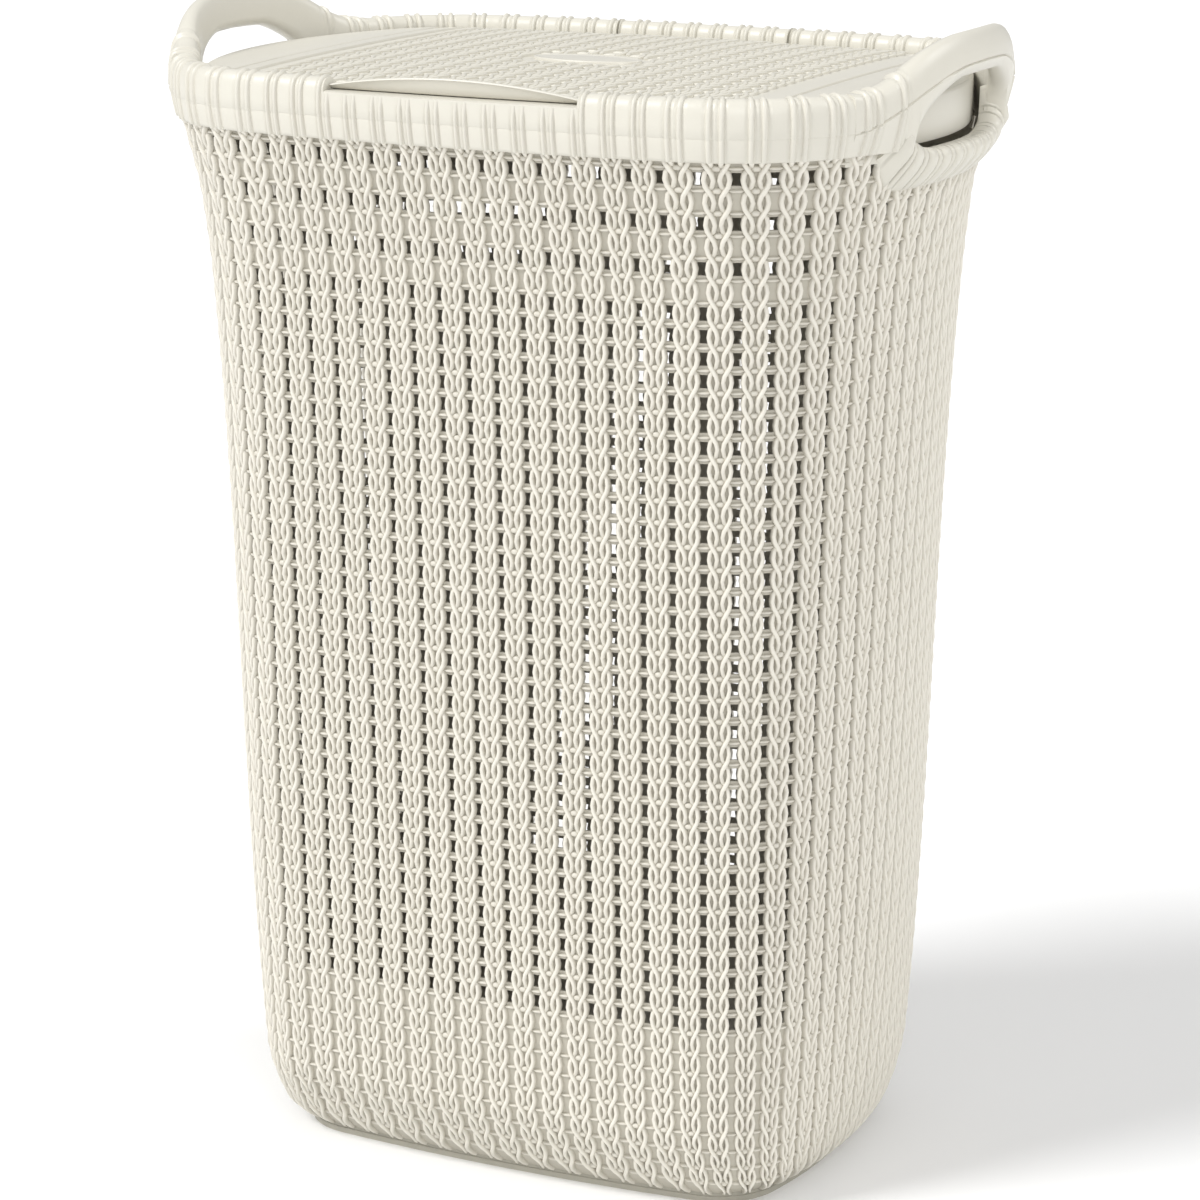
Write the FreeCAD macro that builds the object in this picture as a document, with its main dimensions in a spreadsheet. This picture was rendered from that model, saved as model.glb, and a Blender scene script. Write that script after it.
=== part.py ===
"""Laundry hamper with a hinged lid, as a parametric document.

Millimetres. +Z up, +X to the hamper's right, the long front face looks along -Y.
The origin is on the floor, at the centre of the hamper's box.

Every horizontal section of the hamper is one outline: a rectangle with crowned
sides and round corners, all tangent arcs. A station is such an outline with a
height of its own, and every ring, rim, ledge and lid is an offset of a station.
"""

import FreeCAD
import Part

import math
import os
from collections import namedtuple

import Sketcher

SIZES = [
    # alias, millimetres or a sum of earlier sizes, what it is
    ("front_crown", 1100, "radius of the long faces' crown"),
    ("base_height", 0, "the floor that the hamper stands on, and its centre planes"),
    ("top_height", 561, "upper edge of the wall, under the rim band"),
    ("top_half_width", 212, ""),
    ("top_half_depth", 153, ""),
    ("top_corner", 80, ""),
    ("top_end_crown", 212, ""),
    ("base_side_inset", 66, "foot ring outline"),
    ("base_half_width", "top_half_width - base_side_inset", ""),
    ("base_face_inset", 58, ""),
    ("base_half_depth", "top_half_depth - base_face_inset", ""),
    ("base_corner", 36, ""),
    ("base_end_crown", 300, ""),
    ("sole_height", 3, "lower edge of the wall, and height of the foot ring"),
    ("sole_side_inset", 64, ""),
    ("sole_half_width", "top_half_width - sole_side_inset", ""),
    ("sole_face_inset", 56, ""),
    ("sole_half_depth", "top_half_depth - sole_face_inset", ""),
    ("sole_corner", 38, ""),
    ("sole_end_crown", 300, ""),
    ("toe_height", 8, "bottom edge, first turn"),
    ("toe_side_inset", 57, ""),
    ("toe_half_width", "top_half_width - toe_side_inset", ""),
    ("toe_face_inset", 51, ""),
    ("toe_half_depth", "top_half_depth - toe_face_inset", ""),
    ("toe_corner", 40, ""),
    ("toe_end_crown", 300, ""),
    ("instep_height", 20, "bottom edge, second turn"),
    ("instep_side_inset", 50, ""),
    ("instep_half_width", "top_half_width - instep_side_inset", ""),
    ("instep_face_inset", 42, ""),
    ("instep_half_depth", "top_half_depth - instep_face_inset", ""),
    ("instep_corner", 44, ""),
    ("instep_end_crown", 305, ""),
    ("heel_height", 50, "where the wall runs straight"),
    ("heel_side_inset", 44, ""),
    ("heel_half_width", "top_half_width - heel_side_inset", ""),
    ("heel_face_inset", 30, ""),
    ("heel_half_depth", "top_half_depth - heel_face_inset", ""),
    ("heel_corner", 51, ""),
    ("heel_end_crown", 315, ""),
    ("shoulder_drop", 81, "where the wall starts to flare"),
    ("shoulder_height", "top_height - shoulder_drop", ""),
    ("shoulder_side_inset", 20, ""),
    ("shoulder_half_width", "top_half_width - shoulder_side_inset", ""),
    ("shoulder_face_inset", 15, ""),
    ("shoulder_half_depth", "top_half_depth - shoulder_face_inset", ""),
    ("shoulder_corner", 77, ""),
    ("shoulder_end_crown", 315, ""),
    ("collar_drop", 39, "inside the flare"),
    ("collar_height", "top_height - collar_drop", ""),
    ("collar_side_inset", 13, ""),
    ("collar_half_width", "top_half_width - collar_side_inset", ""),
    ("collar_face_inset", 9, ""),
    ("collar_half_depth", "top_half_depth - collar_face_inset", ""),
    ("collar_corner", 79, ""),
    ("collar_end_crown", 252, ""),
    ("grip_rise", 39, "fullest section of the hand grips"),
    ("grip_height", "top_height + grip_rise", ""),
    ("grip_side_swell", 12, ""),
    ("grip_half_width", "top_half_width + grip_side_swell", ""),
    ("grip_face_swell", 3.5, ""),
    ("grip_half_depth", "top_half_depth + grip_face_swell", ""),
    ("grip_corner_swell", 3.5, ""),
    ("grip_corner", "top_corner + grip_corner_swell", ""),
    ("grip_end_crown", 180, ""),
    ("wall", 2.4, "wall of the basket"),
    ("wall_waist_drop", 296, "where the wall's corners are divided, below the top"),
    ("wall_waist", "top_height - wall_waist_drop", ""),
    ("wall_corner_run", 104, "end of the wall's front and rear runs, from its widest"),
    ("wall_split", "top_half_width - wall_corner_run", ""),
    ("wall_middle", 36, "half the length of their middle stretch"),
    ("wall_end_run", 93, "end of the wall's runs at the two ends, from its deepest"),
    ("wall_end_split", "top_half_depth - wall_end_run", ""),
    ("wall_end_middle", 20, "half the length of their middle stretch"),
    ("floor_thickness", 3, "floor plate"),
    ("foot_width", 14, "width of the foot ring"),
    ("rim_parting_rise", 11, "line round the band where it is fullest"),
    ("rim_parting_height", "top_height + rim_parting_rise", ""),
    ("rim_shoulder_rise", 24, "where the band's top starts to round"),
    ("rim_shoulder_height", "top_height + rim_shoulder_rise", ""),
    ("rim_top_rise", 30, "top of the band"),
    ("rim_top_height", "top_height + rim_top_rise", ""),
    ("rim_overhang", 3.5, "band outside the wall"),
    ("rim_depth", 9, "band inside the wall's outer face"),
    ("rim_outer_round", 4.5, "rounding of the band's top, outside"),
    ("rim_inner_round", 4, "rounding of the band's top, inside"),
    ("rim_corner_run", 84, "end of the front and rear runs, from the widest"),
    ("rim_split", "top_half_width - rim_corner_run", ""),
    ("notch_half_width", 70.6, "finger notch in the front run"),
    ("notch_depth", 6.5, "notch below the band's top"),
    ("grip_thickness", 12, "thickness of a hand grip"),
    ("grip_top_rise", 54, "top of a hand grip"),
    ("grip_top_height", "top_height + grip_top_rise", ""),
    ("grip_outer_round", 6, "rounding of a grip's top, outside"),
    ("grip_inner_round", 2, "rounding of a grip's top, inside"),
    ("grip_half_span", 95, "half the length of a grip with its legs"),
    ("grip_foot_rise", 29, "top of a grip's legs at their outer ends"),
    ("grip_foot_height", "top_height + grip_foot_rise", ""),
    ("grip_knee", 74, "where a leg turns up, from the centre"),
    ("grip_knee_rise", 36, ""),
    ("grip_knee_height", "top_height + grip_knee_rise", ""),
    ("grip_crest", 38, "half the length of a grip's crest"),
    ("hole_half_width", 60, "hand hole"),
    ("hole_spring_rise", 14, "where the hole's sides turn into its arched top"),
    ("hole_spring_height", "top_height + hole_spring_rise", ""),
    ("hole_top_rise", 32.5, ""),
    ("hole_top_height", "top_height + hole_top_rise", ""),
    ("sill_half_span", 70, "bead under a hand hole, from its middle to its end"),
    ("sill_drop", 20, "lower edge of the bead"),
    ("sill_bottom_height", "top_height - sill_drop", ""),
    ("sill_foot_inset", 5.2, ""),
    ("sill_root_inset", 7.9, "the bead's inner face there, inside the wall"),
    ("sill_belly_drop", 7, "where the bead is fullest"),
    ("sill_belly_height", "top_height - sill_belly_drop", ""),
    ("sill_overhang", 5, ""),
    ("sill_lip_overhang", 2, "at the bead's top"),
    ("sill_lip_root", 1.2, "the bead's inner face there, inside the wall"),
    ("ledge_bottom_rise", 13, "ledge that carries the lid"),
    ("ledge_bottom_height", "top_height + ledge_bottom_rise", ""),
    ("ledge_depth", 4, ""),
    ("ledge_half_length", 100, "end of the ledges, from the centre"),
    ("ledge_drop", 0.5, "ledge below the closed lid"),
    ("lid_gap", 1.5, "gap round the lid"),
    ("lid_bottom_rise", 17, "underside of the lid panel"),
    ("lid_bottom_height", "top_height + lid_bottom_rise", ""),
    ("lid_edge_rise", 22, "top of the lid panel at its edge"),
    ("lid_edge_height", "top_height + lid_edge_rise", ""),
    ("lid_dome_rise", 24.5, "halfway up the lid's dome"),
    ("lid_dome_height", "top_height + lid_dome_rise", ""),
    ("lid_dome_inset", 30, ""),
    ("lid_crown_rise", 26, "top of the lid's dome"),
    ("lid_crown_height", "top_height + lid_crown_rise", ""),
    ("lid_crown_inset", 60, ""),
    ("lid_wall", 3, "wall of the lid panel"),
    ("skirt_bottom_drop", 2, "lower edge of the lid's end skirts"),
    ("skirt_bottom_height", "top_height - skirt_bottom_drop", ""),
    ("skirt_wall", 2.5, ""),
    ("skirt_half_length", 97, ""),
    ("lip_side_gap", 1, "gap between the finger lip and the notch"),
    ("lip_under_gap", 0.8, "gap between the finger lip and the notch's floor"),
    ("lip_reach", 9, "finger lip in front of the lid's edge"),
    ("lip_web_front", 3, "web of the finger lip, behind the lid's edge"),
    ("lip_web_thickness", 4, ""),
    ("lip_end_rise", 26.5, "finger lip at its two ends"),
    ("lip_end_height", "top_height + lip_end_rise", ""),
    ("lip_crest_rise", 33, "finger lip at its middle"),
    ("lip_crest_height", "top_height + lip_crest_rise", ""),
    ("tab_half_width", 51.9, "rear segment of the band that turns with the lid"),
    ("tab_slit", 1, "slit between that segment and the rear runs"),
    ("tab_bottom_rise", 5, ""),
    ("tab_bottom_height", "top_height + tab_bottom_rise", ""),
    ("bridge_top_rise", 3, "strip of band that stays under the segment"),
    ("bridge_top_height", "top_height + bridge_top_rise", ""),
    ("hinge_inset", 1.5, "hinge axis inside the wall's outer face"),
    ("hinge_rise", 24, ""),
    ("hinge_height", "top_height + hinge_rise", ""),
    ("pin_radius", 3, "hinge pins"),
    ("pin_length", 6.5, ""),
    ("pin_clearance", 0.05, "radial clearance of a hinge pin in its bore"),
    ("bore_depth", 7.5, "bore for a hinge pin"),
    ("badge_half_width", 30, "blank oval plate on the lid"),
    ("badge_half_depth", 13, ""),
    ("badge_thickness", 1, ""),
    ("reach", 300, "half side of the boxes that cut the rings into runs"),
]

doc = FreeCAD.newDocument("LaundryHamper")
sheet = doc.addObject("Spreadsheet::Sheet", "Sizes")
VALUES = {}
Level = namedtuple("Level", "height station offset")
pieces = []


# --- sums of named sizes -------------------------------------------------------


def number(text):
    """The value of a sum such as "top_half_depth - wall"."""
    total = 0.0
    sign = 1.0
    for word in text.split():
        if word in "+-":
            sign = -1.0 if word == "-" else 1.0
        else:
            total += sign * VALUES[word]
    return total


def formula(text):
    """The same sum as an expression on the sheet's cells."""
    return " ".join(word if word in "+-" else f"Sizes.{word}" for word in text.split())


def bind(thing, **sums):
    """Binds properties to sums. A double underscore stands for a dot in the property's path."""
    for path, text in sums.items():
        thing.setExpression(path.replace("__", "."), formula(text))


for row, (alias, value, note) in enumerate(SIZES, start=1):
    tied = isinstance(value, str)
    sheet.set(f"A{row}", alias)
    sheet.set(f"B{row}", f"={value}" if tied else str(value))
    sheet.set(f"C{row}", note)
    sheet.setAlias(f"B{row}", alias)
    VALUES[alias] = number(value) if tied else float(value)
doc.recompute()


# --- bodies and sketches -------------------------------------------------------


def new_body(name):
    body = doc.addObject("PartDesign::Body", name)
    body.Label = name
    return body


def new_sketch(body, name, plane, height=None):
    """An empty sketch on one of the body's own planes, lifted to a height."""
    sketch = body.newObject("Sketcher::SketchObject", name)
    origin = [o for o in body.Origin.OriginFeatures if o.Role == plane][0]
    sketch.AttachmentSupport = [(origin, "")]
    sketch.MapMode = "FlatFace"
    if height:
        bind(sketch, AttachmentOffset__Base__z=height)
    return sketch


def corner_centre(half_width, half_depth, corner, end_crown, front_crown):
    """Centre of the corner arc that touches both crowned sides, in the first quadrant."""
    side = end_crown - corner
    face = front_crown - corner
    side_x = half_width - end_crown
    face_y = half_depth - front_crown
    apart = math.hypot(side_x, face_y)
    along = (apart**2 + side**2 - face**2) / (2 * apart)
    across = math.sqrt(side**2 - along**2)
    x = side_x - along * side_x / apart - across * face_y / apart
    y = along * face_y / apart - across * side_x / apart
    return abs(x), abs(y)


def add_outline(sketch, station, offset):
    """Eight tangent arcs: crowned front, rear and ends, and four round corners."""
    shift = number(offset) if offset else 0.0
    tail = f" {offset}" if offset else ""
    half_width = number(f"{station}_half_width") + shift
    half_depth = number(f"{station}_half_depth") + shift
    corner = number(f"{station}_corner") + shift
    end_crown = number(f"{station}_end_crown") + shift
    front_crown = number("front_crown") + shift
    cx, cy = corner_centre(half_width, half_depth, corner, end_crown, front_crown)
    side_turn = math.atan2(cy, cx - half_width + end_crown)
    face_turn = math.atan2(cy - half_depth + front_crown, cx)
    right_x = half_width - end_crown
    rear_y = half_depth - front_crown
    half = math.pi / 2
    arcs = [
        (right_x, 0, end_crown, -side_turn, side_turn),
        (cx, cy, corner, side_turn, face_turn),
        (0, rear_y, front_crown, face_turn, math.pi - face_turn),
        (-cx, cy, corner, math.pi - face_turn, math.pi - side_turn),
        (-right_x, 0, end_crown, math.pi - side_turn, math.pi + side_turn),
        (-cx, -cy, corner, math.pi + side_turn, math.pi + face_turn),
        (0, -rear_y, front_crown, math.pi + face_turn, 4 * half - face_turn),
        (cx, -cy, corner, 4 * half - face_turn, 4 * half - side_turn),
    ]
    up = FreeCAD.Vector(0, 0, 1)
    for x, y, radius, start, end in arcs:
        circle = Part.Circle(FreeCAD.Vector(x, y, 0), up, radius)
        sketch.addGeometry(Part.ArcOfCircle(circle, start, end), False)
    marks = [(half_width, 0), (0, half_depth), (-half_width, 0), (0, -half_depth)]
    for x, y in marks:
        sketch.addGeometry(Part.Point(FreeCAD.Vector(x, y, 0)), True)

    def constrain(*facts):
        return sketch.addConstraint(Sketcher.Constraint(*facts))

    for arc in range(8):
        constrain("Tangent", arc, 2, (arc + 1) % 8, 1)
    for arc in (3, 5, 7):
        constrain("Equal", 1, arc)
    constrain("Equal", 0, 4)
    constrain("Equal", 2, 6)
    horizontal, vertical, centre = -1, -2, 3
    for arc in (0, 4):
        constrain("PointOnObject", arc, centre, horizontal)
    for arc in (2, 6):
        constrain("PointOnObject", arc, centre, vertical)
    for place, (arc, axis) in enumerate(zip((0, 2, 4, 6), (horizontal, vertical) * 2)):
        constrain("PointOnObject", 8 + place, 1, arc)
        constrain("PointOnObject", 8 + place, 1, axis)
    sizes = [
        (constrain("DistanceX", -1, 1, 8, 1, half_width), f"{station}_half_width"),
        (constrain("DistanceY", -1, 1, 9, 1, half_depth), f"{station}_half_depth"),
        (constrain("DistanceX", 10, 1, -1, 1, half_width), f"{station}_half_width"),
        (constrain("DistanceY", 11, 1, -1, 1, half_depth), f"{station}_half_depth"),
        (constrain("Radius", 0, end_crown), f"{station}_end_crown"),
        (constrain("Radius", 1, corner), f"{station}_corner"),
        (constrain("Radius", 2, front_crown), "front_crown"),
    ]
    for index, text in sizes:
        sketch.setExpression(f"Constraints[{index}]", formula(text + tail))


def outlines(body, name, levels):
    """One sketch for each level."""
    made = []
    for index, level in enumerate(levels):
        sketch = new_sketch(body, f"{name}_{index}", "XY_Plane", level.height)
        add_outline(sketch, level.station, level.offset)
        made.append(sketch)
    return made


def add_loft(body, kind, name, levels):
    """A straight-sided loft through the levels, which adds to the body or cuts it."""
    sketches = outlines(body, f"{name}_level", levels)
    doc.recompute()
    before = body.Shape.Volume if kind.startswith("Subtractive") else 0.0
    loft = body.newObject(f"PartDesign::{kind}Loft", name)
    loft.Profile = sketches[0]
    loft.Sections = sketches[1:]
    loft.Ruled = True
    doc.recompute()
    if before and body.Shape.Volume > before - 1.0:
        raise RuntimeError(f"{name} cuts nothing")
    return loft


def ring(name, outer, inner):
    """A closed ring between two stacks of levels."""
    body = new_body(name)
    add_loft(body, "Additive", f"{name}_outside", outer)
    add_loft(body, "Subtractive", f"{name}_inside", inner)
    return body


def straight_ring(name, station, outer, inner, bottom, top):
    """A ring of constant section between two offsets of one station."""
    return ring(
        name,
        [Level(bottom, station, outer), Level(top, station, outer)],
        [Level(bottom, station, inner), Level(top, station, inner)],
    )


def plate(name, levels):
    body = new_body(name)
    add_loft(body, "Additive", f"{name}_shape", levels)
    return body


def add_profile(sketch, corners):
    """A closed outline through corners, counter-clockwise, each a pair of sums. Where a corner
    has a third sum, the stretch to the next is an arc that crests there, on the centre line."""

    def constrain(text, *facts):
        index = sketch.addConstraint(Sketcher.Constraint(*facts))
        if text:
            sketch.setExpression(f"Constraints[{index}]", formula(text))

    points = [FreeCAD.Vector(number(c[0]), number(c[1]), 0) for c in corners]
    for index, (corner, start) in enumerate(zip(corners, points)):
        end = points[(index + 1) % len(points)]
        if len(corner) > 2:
            crest = FreeCAD.Vector(0, number(corner[2]), 0)
            sketch.addGeometry(Part.Arc(start, crest, end), False)
        else:
            sketch.addGeometry(Part.LineSegment(start, end), False)
    for index, (corner, point) in enumerate(zip(corners, points)):
        after = (index + 1) % len(points)
        constrain(None, "Coincident", index, 2, after, 1)
        constrain(corner[0], "DistanceX", -1, 1, index, 1, point.x)
        constrain(corner[1], "DistanceY", -1, 1, index, 1, point.y)
        if len(corner) > 2:
            mark = sketch.addGeometry(Part.Point(FreeCAD.Vector(0, number(corner[2]), 0)), True)
            constrain(None, "PointOnObject", mark, 1, -2)
            constrain(corner[2], "DistanceY", -1, 1, mark, 1, number(corner[2]))
            constrain(None, "PointOnObject", mark, 1, index)


def prism(name, plane, corners, length):
    """A body with one profile on an upright plane, padded by the same length to both sides."""
    body = new_body(name)
    sketch = new_sketch(body, f"{name}_profile", plane)
    add_profile(sketch, corners)
    doc.recompute()
    pad = body.newObject("PartDesign::Pad", f"{name}_pad")
    pad.Profile = sketch
    pad.Midplane = True
    pad.setExpression("Length", f"2 * ({formula(length)})")
    doc.recompute()
    return body


# --- cutting the rings into pieces ---------------------------------------------


def negative(text):
    words = text.split()
    if words[0] not in "+-":
        words.insert(0, "+")
    return " ".join({"+": "-", "-": "+"}.get(word, word) for word in words).lstrip("+ ")


def span(side, near, far):
    """From near to far on the side where the coordinate is positive, or their mirror image."""
    return (near, far) if side > 0 else (negative(far), negative(near))


def box(name, x, y, z):
    """A box between pairs of sums along each axis."""
    solid = doc.addObject("Part::Box", name)
    for size, axis, (low, high) in zip(("Length", "Width", "Height"), "xyz", (x, y, z)):
        solid.setExpression(size, f"({formula(high)}) - ({formula(low)})")
        solid.setExpression(f"Placement.Base.{axis}", formula(low))
    return solid


def common(name, *things):
    made = doc.addObject("Part::MultiCommon", name)
    made.Shapes = list(things)
    return made


def cut(name, base, tool):
    made = doc.addObject("Part::Cut", name)
    made.Base = base
    made.Tool = tool
    return made


def fuse(name, *things):
    made = doc.addObject("Part::MultiFuse", name)
    made.Shapes = list(things)
    return made


def piece(thing):
    """Marks a finished sub-part, which is written to a file named after its label."""
    pieces.append(thing)
    return thing


ALL_HEIGHTS = ("base_height", "grip_top_height + wall")
EVERYWHERE = ("- reach", "reach")
SIDES = (("left", -1), ("right", 1))
LID = "- rim_depth - lid_gap"


# --- basket: wall, floor and foot ----------------------------------------------

STATIONS = ("sole", "toe", "instep", "heel", "shoulder", "collar", "top")

wall_ring = ring(
    "wall_ring",
    [Level(f"{station}_height", station, "") for station in STATIONS],
    [Level(f"{station}_height", station, "- wall") for station in STATIONS],
)
for end, end_sign in (("front", -1), ("rear", 1)):
    for place, low, high in (
        ("left", "- wall_split", "- wall_middle"),
        ("middle", "- wall_middle", "wall_middle"),
        ("right", "wall_middle", "wall_split"),
    ):
        depth = span(end_sign, "base_height", "reach")
        run = box(f"{end}_wall_{place}", (low, high), depth, ALL_HEIGHTS)
        piece(common(f"wall_{end}_{place}", wall_ring, run))
for side, sign in SIDES:
    for place, low, high in (
        ("front", "- wall_end_split", "- wall_end_middle"),
        ("middle", "- wall_end_middle", "wall_end_middle"),
        ("rear", "wall_end_middle", "wall_end_split"),
    ):
        width = span(sign, "wall_split", "reach")
        run = box(f"{side}_wall_{place}", width, (low, high), ALL_HEIGHTS)
        piece(common(f"wall_{side}_{place}", wall_ring, run))
for end, end_sign in (("front", -1), ("rear", 1)):
    for side, sign in SIDES:
        for place, low, high in (
            ("foot", "base_height", "heel_height"),
            ("lower", "heel_height", "wall_waist"),
            ("upper", "wall_waist", "shoulder_height"),
            ("flare", "shoulder_height", "grip_top_height"),
        ):
            quarter = box(
                f"{end}_{side}_quarter_{place}",
                span(sign, "wall_split", "reach"),
                span(end_sign, "wall_end_split", "reach"),
                (low, high),
            )
            piece(common(f"wall_corner_{end}_{side}_{place}", wall_ring, quarter))
piece(
    plate(
        "basket_floor",
        [
            Level("sole_height", "sole", "- wall"),
            Level("sole_height + floor_thickness", "sole", "- wall"),
        ],
    )
)
piece(straight_ring("foot_ring", "base", "", "- foot_width", "base_height", "sole_height"))


# --- basket: rim band ----------------------------------------------------------

rim_ring = ring(
    "rim_ring",
    [
        Level("top_height", "top", ""),
        Level("rim_parting_height", "top", "+ rim_overhang"),
        Level("rim_shoulder_height", "top", "+ rim_overhang"),
        Level("rim_top_height", "top", "+ rim_overhang - rim_outer_round"),
    ],
    [
        Level("top_height", "top", "- rim_depth"),
        Level("rim_shoulder_height", "top", "- rim_depth"),
        Level("rim_top_height", "top", "- rim_depth + rim_inner_round"),
    ],
)

front_run = box("front_run", ("- rim_split", "rim_split"), ("- reach", "base_height"), ALL_HEIGHTS)
notch = box(
    "finger_notch",
    ("- notch_half_width", "notch_half_width"),
    ("- reach", "base_height"),
    ("rim_top_height - notch_depth", "grip_top_height"),
)
piece(cut("rim_front", common("rim_front_run", rim_ring, front_run), notch))

for end, end_sign in (("front", -1), ("rear", 1)):
    for side, sign in SIDES:
        quarter = box(
            f"corner_{end}_{side}",
            span(sign, "rim_split", "reach"),
            span(end_sign, "grip_half_span", "reach"),
            ALL_HEIGHTS,
        )
        piece(common(f"rim_corner_{end}_{side}", rim_ring, quarter))

for side, sign in SIDES:
    run = box(
        f"rear_run_{side}",
        span(sign, "tab_half_width + tab_slit", "rim_split"),
        ("base_height", "reach"),
        ALL_HEIGHTS,
    )
    bore = doc.addObject("Part::Cylinder", f"hinge_bore_{side}")
    bind(bore, Radius="pin_radius + pin_clearance", Height="bore_depth")
    mouth = span(sign, "tab_half_width + tab_slit", "tab_half_width + tab_slit + bore_depth")[0]
    bore.Placement = FreeCAD.Placement(
        FreeCAD.Vector(), FreeCAD.Rotation(FreeCAD.Vector(0, 1, 0), 90)
    )
    bind(
        bore,
        Placement__Base__x=mouth,
        Placement__Base__y="top_half_depth - hinge_inset",
        Placement__Base__z="hinge_height",
    )
    piece(cut(f"rim_rear_{side}", common(f"rim_rear_run_{side}", rim_ring, run), bore))

bridge = box(
    "rear_bridge",
    ("- tab_half_width - tab_slit", "tab_half_width + tab_slit"),
    ("base_height", "reach"),
    ("top_height", "bridge_top_height"),
)
piece(common("rim_rear_bridge", rim_ring, bridge))


# --- basket: hand grips and the beads under their holes ------------------------

grip_ring = ring(
    "grip_ring",
    [
        Level("top_height", "top", "+ rim_overhang"),
        Level("grip_height", "grip", ""),
        Level("grip_top_height", "grip", "- grip_outer_round"),
    ],
    [
        Level("top_height", "top", "+ rim_overhang - grip_thickness"),
        Level("grip_height", "grip", "- grip_thickness"),
        Level("grip_top_height", "grip", "- grip_thickness + grip_inner_round"),
    ],
)
grip_side = prism(
    "grip_side",
    "YZ_Plane",
    [
        ("- grip_half_span", "top_height"),
        ("grip_half_span", "top_height"),
        ("grip_half_span", "grip_foot_height"),
        ("grip_knee", "grip_knee_height"),
        ("grip_crest", "grip_top_height"),
        ("- grip_crest", "grip_top_height"),
        ("- grip_knee", "grip_knee_height"),
        ("- grip_half_span", "grip_foot_height"),
    ],
    "reach",
)
hand_hole = prism(
    "hand_hole",
    "YZ_Plane",
    [
        ("- hole_half_width", "collar_height"),
        ("hole_half_width", "collar_height"),
        ("hole_half_width", "hole_spring_height", "hole_top_height"),
        ("- hole_half_width", "hole_spring_height"),
    ],
    "reach",
)
grips = cut("grip_pair", common("grip_arches", grip_ring, grip_side), hand_hole)
sill_ring = ring(
    "sill_ring",
    [
        Level("sill_bottom_height", "top", "- sill_foot_inset"),
        Level("sill_belly_height", "top", "+ sill_overhang"),
        Level("top_height", "top", "+ sill_lip_overhang"),
    ],
    [
        Level("sill_bottom_height", "top", "- sill_root_inset"),
        Level("top_height", "top", "- sill_lip_root"),
    ],
)
sill_bead = cut("sill_bead", sill_ring, wall_ring)
for side, sign in SIDES:
    half = box(f"grip_half_{side}", span(sign, "base_height", "reach"), EVERYWHERE, ALL_HEIGHTS)
    piece(common(f"handle_{side}", grips, half))
    under = box(
        f"sill_half_{side}",
        span(sign, "base_height", "reach"),
        ("- sill_half_span", "sill_half_span"),
        ALL_HEIGHTS,
    )
    piece(common(f"hand_hole_sill_{side}", sill_bead, under))


# --- basket: ledges that carry the lid -----------------------------------------

ledge_ring = straight_ring(
    "ledge_ring",
    "top",
    "- rim_depth",
    "- rim_depth - ledge_depth",
    "ledge_bottom_height",
    "lid_bottom_height - ledge_drop",
)
front_ledge = box(
    "front_ledge",
    ("- ledge_half_length", "ledge_half_length"),
    ("- reach", "base_height"),
    ALL_HEIGHTS,
)
piece(common("lid_ledge_front", ledge_ring, front_ledge))
for side, sign in SIDES:
    rear_ledge = box(
        f"rear_ledge_{side}",
        span(sign, "tab_half_width + tab_slit", "ledge_half_length"),
        ("base_height", "reach"),
        ALL_HEIGHTS,
    )
    piece(common(f"lid_ledge_rear_{side}", ledge_ring, rear_ledge))


# --- lid -----------------------------------------------------------------------

DOME = (("lid_edge_height", ""), ("lid_dome_height", " - lid_dome_inset"))
DOME += (("lid_crown_height", " - lid_crown_inset"),)
lid_panel = plate(
    "lid_panel",
    [Level("lid_bottom_height", "top", LID)]
    + [Level(height, "top", LID + inset) for height, inset in DOME],
)
add_loft(
    lid_panel,
    "Subtractive",
    "lid_panel_hollow",
    [Level("lid_bottom_height", "top", LID + " - skirt_wall")]
    + [Level(height + " - lid_wall", "top", LID + " - skirt_wall" + inset) for height, inset in DOME],
)
piece(lid_panel)

skirt_ring = straight_ring(
    "skirt_ring", "top", LID, LID + " - skirt_wall", "skirt_bottom_height", "lid_bottom_height"
)
for side, sign in SIDES:
    reach = box(
        f"skirt_half_{side}",
        span(sign, "base_height", "reach"),
        ("- skirt_half_length", "skirt_half_length"),
        ALL_HEIGHTS,
    )
    piece(common(f"lid_skirt_{side}", skirt_ring, reach))

lip_arch = prism(
    "lip_arch",
    "XZ_Plane",
    [
        ("- notch_half_width + lip_side_gap", "lid_edge_height"),
        ("notch_half_width - lip_side_gap", "lid_edge_height"),
        ("notch_half_width - lip_side_gap", "lip_end_height", "lip_crest_height"),
        ("- notch_half_width + lip_side_gap", "lip_end_height"),
    ],
    "reach",
)
LIP_BACK = "- top_half_depth + rim_depth + lid_gap + lip_web_front"
lip_section = prism(
    "lip_section",
    "YZ_Plane",
    [
        (LIP_BACK, "lid_edge_height"),
        (LIP_BACK + " + lip_web_thickness", "lid_edge_height"),
        (LIP_BACK + " + lip_web_thickness", "grip_top_height"),
        (LIP_BACK + " - lip_web_front - lip_reach", "grip_top_height"),
        (
            LIP_BACK + " - lip_web_front - lip_reach",
            "rim_top_height - notch_depth + lip_under_gap",
        ),
        (LIP_BACK, "rim_top_height - notch_depth + lip_under_gap"),
    ],
    "notch_half_width",
)
piece(cut("lid_front_lip", common("lip_block", lip_arch, lip_section), lid_panel))

web_ring = straight_ring(
    "web_ring", "top", "- rim_depth", LID, "lid_bottom_height", "lid_edge_height"
)
tab_box = box(
    "tab_run",
    ("- tab_half_width", "tab_half_width"),
    ("base_height", "reach"),
    ("tab_bottom_height", "grip_top_height"),
)
piece(
    fuse(
        "lid_hinge_tab",
        common("tab_band", rim_ring, tab_box),
        common("tab_web", web_ring, tab_box),
    )
)

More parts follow.
